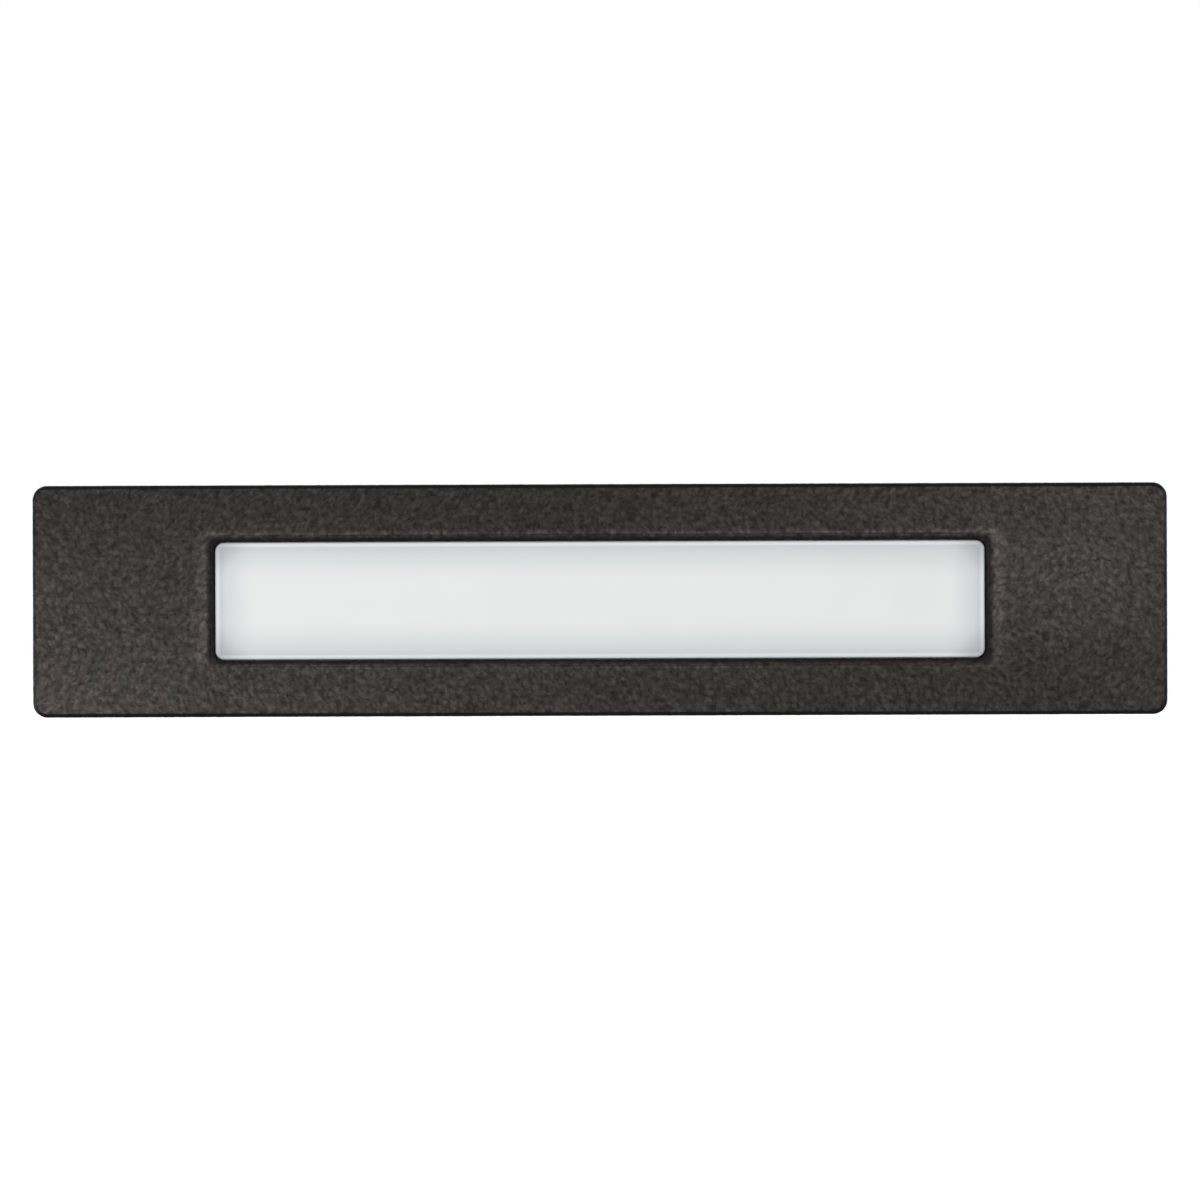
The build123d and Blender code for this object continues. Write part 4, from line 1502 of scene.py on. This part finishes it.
@dataclass
class TerminalUnit(SubAssembly):
    """The terminal block with its brass cages and clamp screws."""

    body: Body = Body.HOUSING
    edge: float = 0.25 * MM
    screw_edge: float = 0.12 * MM
    cage_length: float = 4.6 * MM
    cage_inner: float = 1.25 * MM
    cage_outer: float = 1.74 * MM
    cage_lip: float = 0.15 * MM
    cage_inset: float = 0.3 * MM
    cage_faces: int = 32
    pole_spacing: float = 13.0 * MM

    def build(self) -> None:
        """Builds the block, its clamp screws and its cages."""
        self.add_softened("terminal_block", "terminal_moulding", IVORY, self.edge)
        self.add_softened("terminal_clamp_screws", "clamp_screw_heads", BRASS, self.screw_edge)
        self.build_cages()
        dress(ZINC_SCREW, "terminal_block_screw")

    def build_cages(self) -> None:
        """Builds a brass sleeve in each wire entry."""
        low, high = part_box("terminal_block")
        lead_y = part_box("supply_lead_brown")[1].y - LEAD_RADIUS
        profile = [
            (self.cage_inner + self.cage_lip, 0.0),
            (self.cage_inner, self.cage_lip),
            (self.cage_inner, self.cage_length),
            (self.cage_outer, self.cage_length),
            (self.cage_outer, 0.0),
        ]
        bm = bmesh.new()
        for x, inwards in ((low.x + self.cage_inset, 1), (high.x - self.cage_inset, -1)):
            for side in SIDES:
                centre = (x, lead_y, side * self.pole_spacing / 2)
                add_ring(bm, profile, centre, (inwards, 0, 0), self.cage_faces)
        self.add_piece(bm, "terminal_cages", [BRASS])


@dataclass
class Leads(SubAssembly):
    """The insulated leads inside the box, which the CAD routes whole."""

    body: Body = Body.HOUSING

    def build(self) -> None:
        """Dresses each lead in its jacket's colour."""
        dress(RED_JACKET, "led_lead_red")
        dress(BLACK_JACKET, "led_lead_black")
        dress(BROWN_JACKET, "supply_lead_brown")
        dress(BLUE_JACKET, "supply_lead_blue")


@dataclass(frozen=True)
class Lamp:
    """A soft square lamp that faces the light."""

    name: str
    place: Triple
    size: float
    power: float

    def build(self) -> None:
        """Hangs the lamp."""
        data = bpy.data.lights.new(self.name, "AREA")
        data.shape = "SQUARE"
        data.size = self.size
        data.energy = self.power
        lamp = bpy.data.objects.new(self.name, data)
        lamp.location = self.place
        lamp.rotation_euler = (-Vector(self.place)).to_track_quat("-Z", "Y").to_euler()
        bpy.context.scene.collection.objects.link(lamp)


@dataclass
class Studio:
    """A white room with soft front light, and the camera at the photograph's angle."""

    frame_width: float = 295.3 * MM
    lens: float = 200.0
    sensor: float = 36.0
    roll: float = radians(0.195)
    floor_drop: float = 0.25
    floor_size: float = 30.0
    floor_tone: Colour = (0.80, 0.80, 0.80)
    floor_glow: Range = (0.25, 1.0)
    floor_fade: Range = (0.45, 1.1)
    sky_tone: Colour = (1.0, 1.0, 1.0)
    ambient: float = 0.25
    backdrop: float = 1.0
    lamps: tuple[Lamp, ...] = (
        Lamp("key_left", (-0.8, -1.5, 0.4), 0.9, 14.0),
        Lamp("fill_right", (1.2, -1.9, 0.45), 1.2, 12.0),
        Lamp("back_left", (-1.4, 1.7, 1.5), 1.5, 24.0),
        Lamp("back_right", (1.4, 1.7, 1.5), 1.5, 24.0),
    )

    def build(self) -> None:
        """Builds sky, floor, lamps and camera."""
        self.build_sky()
        self.build_floor()
        for lamp in self.lamps:
            lamp.build()
        self.build_camera()

    def seen_directly(self, wiring: Wiring) -> NodeSocket:
        """Wires a value that is 1 for camera, glossy and transmission rays.

        Args:
            wiring: The tree to wire it in.

        Returns:
            The value.
        """
        rays = wiring.add("LightPath").outputs
        seen = rays["Is Camera Ray"]
        for name in ("Is Glossy Ray", "Is Transmission Ray"):
            seen = wiring.math("MAXIMUM", seen, rays[name])
        return seen

    def build_sky(self) -> None:
        """Makes a world that looks white and lights softly."""
        world = bpy.data.worlds.new("white_room")
        world.use_nodes = True
        bpy.context.scene.world = world
        wiring = Wiring(world.node_tree)
        skies = []
        for strength in (self.ambient, self.backdrop):
            sky = wiring.add("Background", {"Color": (*self.sky_tone, 1.0), "Strength": strength})
            skies.append(sky.outputs["Background"])
        both = wiring.add("MixShader", dict(enumerate((self.seen_directly(wiring), *skies))))
        wiring.add("OutputWorld", {"Surface": both.outputs["Shader"]})

    def floor_material(self) -> Material:
        """Makes a pale floor that takes the light's shadow and fades to white away from it.

        Returns:
            The floor's material.
        """
        material = bpy.data.materials.new("pale_floor")
        material.use_nodes = True
        wiring = Wiring(material.node_tree)
        matt = wiring.add("BsdfDiffuse", {"Color": (*self.floor_tone, 1.0)})
        fade = wiring.span(wiring.away_from(), self.floor_fade, self.floor_glow, smooth=True)
        strength = wiring.math("MULTIPLY", self.seen_directly(wiring), fade)
        glow = wiring.add("Emission", {"Strength": strength})
        both = wiring.add("AddShader", {0: matt.outputs["BSDF"], 1: glow.outputs["Emission"]})
        wiring.add("OutputMaterial", {"Surface": both.outputs["Shader"]})
        return material

    def build_floor(self) -> None:
        """Lays the floor below the light."""
        bm = bmesh.new()
        bmesh.ops.create_grid(bm, x_segments=1, y_segments=1, size=self.floor_size / 2)
        bmesh.ops.translate(bm, verts=bm.verts, vec=(0.0, 0.0, -self.floor_drop))
        mesh = bpy.data.meshes.new("floor")
        bm.to_mesh(mesh)
        bm.free()
        mesh.materials.append(self.floor_material())
        floor = bpy.data.objects.new("floor", mesh)
        bpy.context.scene.collection.objects.link(floor)

    def build_camera(self) -> None:
        """Places the camera straight in front of the face, at the photograph's scale and roll."""
        data = bpy.data.cameras.new("photo_camera")
        data.lens = self.lens
        data.sensor_width = self.sensor
        distance = self.frame_width * self.lens / self.sensor
        camera = bpy.data.objects.new("photo_camera", data)
        camera.location = (0.0, CAD_BOX[0].y - distance, 0.0)
        camera.rotation_euler = (pi / 2, self.roll, 0.0)
        bpy.context.scene.collection.objects.link(camera)
        bpy.context.scene.camera = camera
        bpy.context.scene.view_settings.view_transform = "Standard"


def write_sizes() -> None:
    """Brings the view layer up to date."""
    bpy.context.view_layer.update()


def main() -> None:
    """Builds the light's sub-assemblies in order, then the studio."""
    logging.basicConfig(level=logging.INFO, format="%(name)s %(message)s")
    units = (
        FacePlate(),
        LensUnit(),
        SpringClips(),
        BackBox(),
        ConduitPlugs(),
        CableGland(),
        LedTray(),
        LedBoard(),
        DriverUnit(),
        TerminalUnit(),
        Leads(),
        Studio(),
    )
    for unit in units:
        log.info("building %s", type(unit).__name__)
        unit.build()
    write_sizes()


if __name__ == "__main__":
    main()
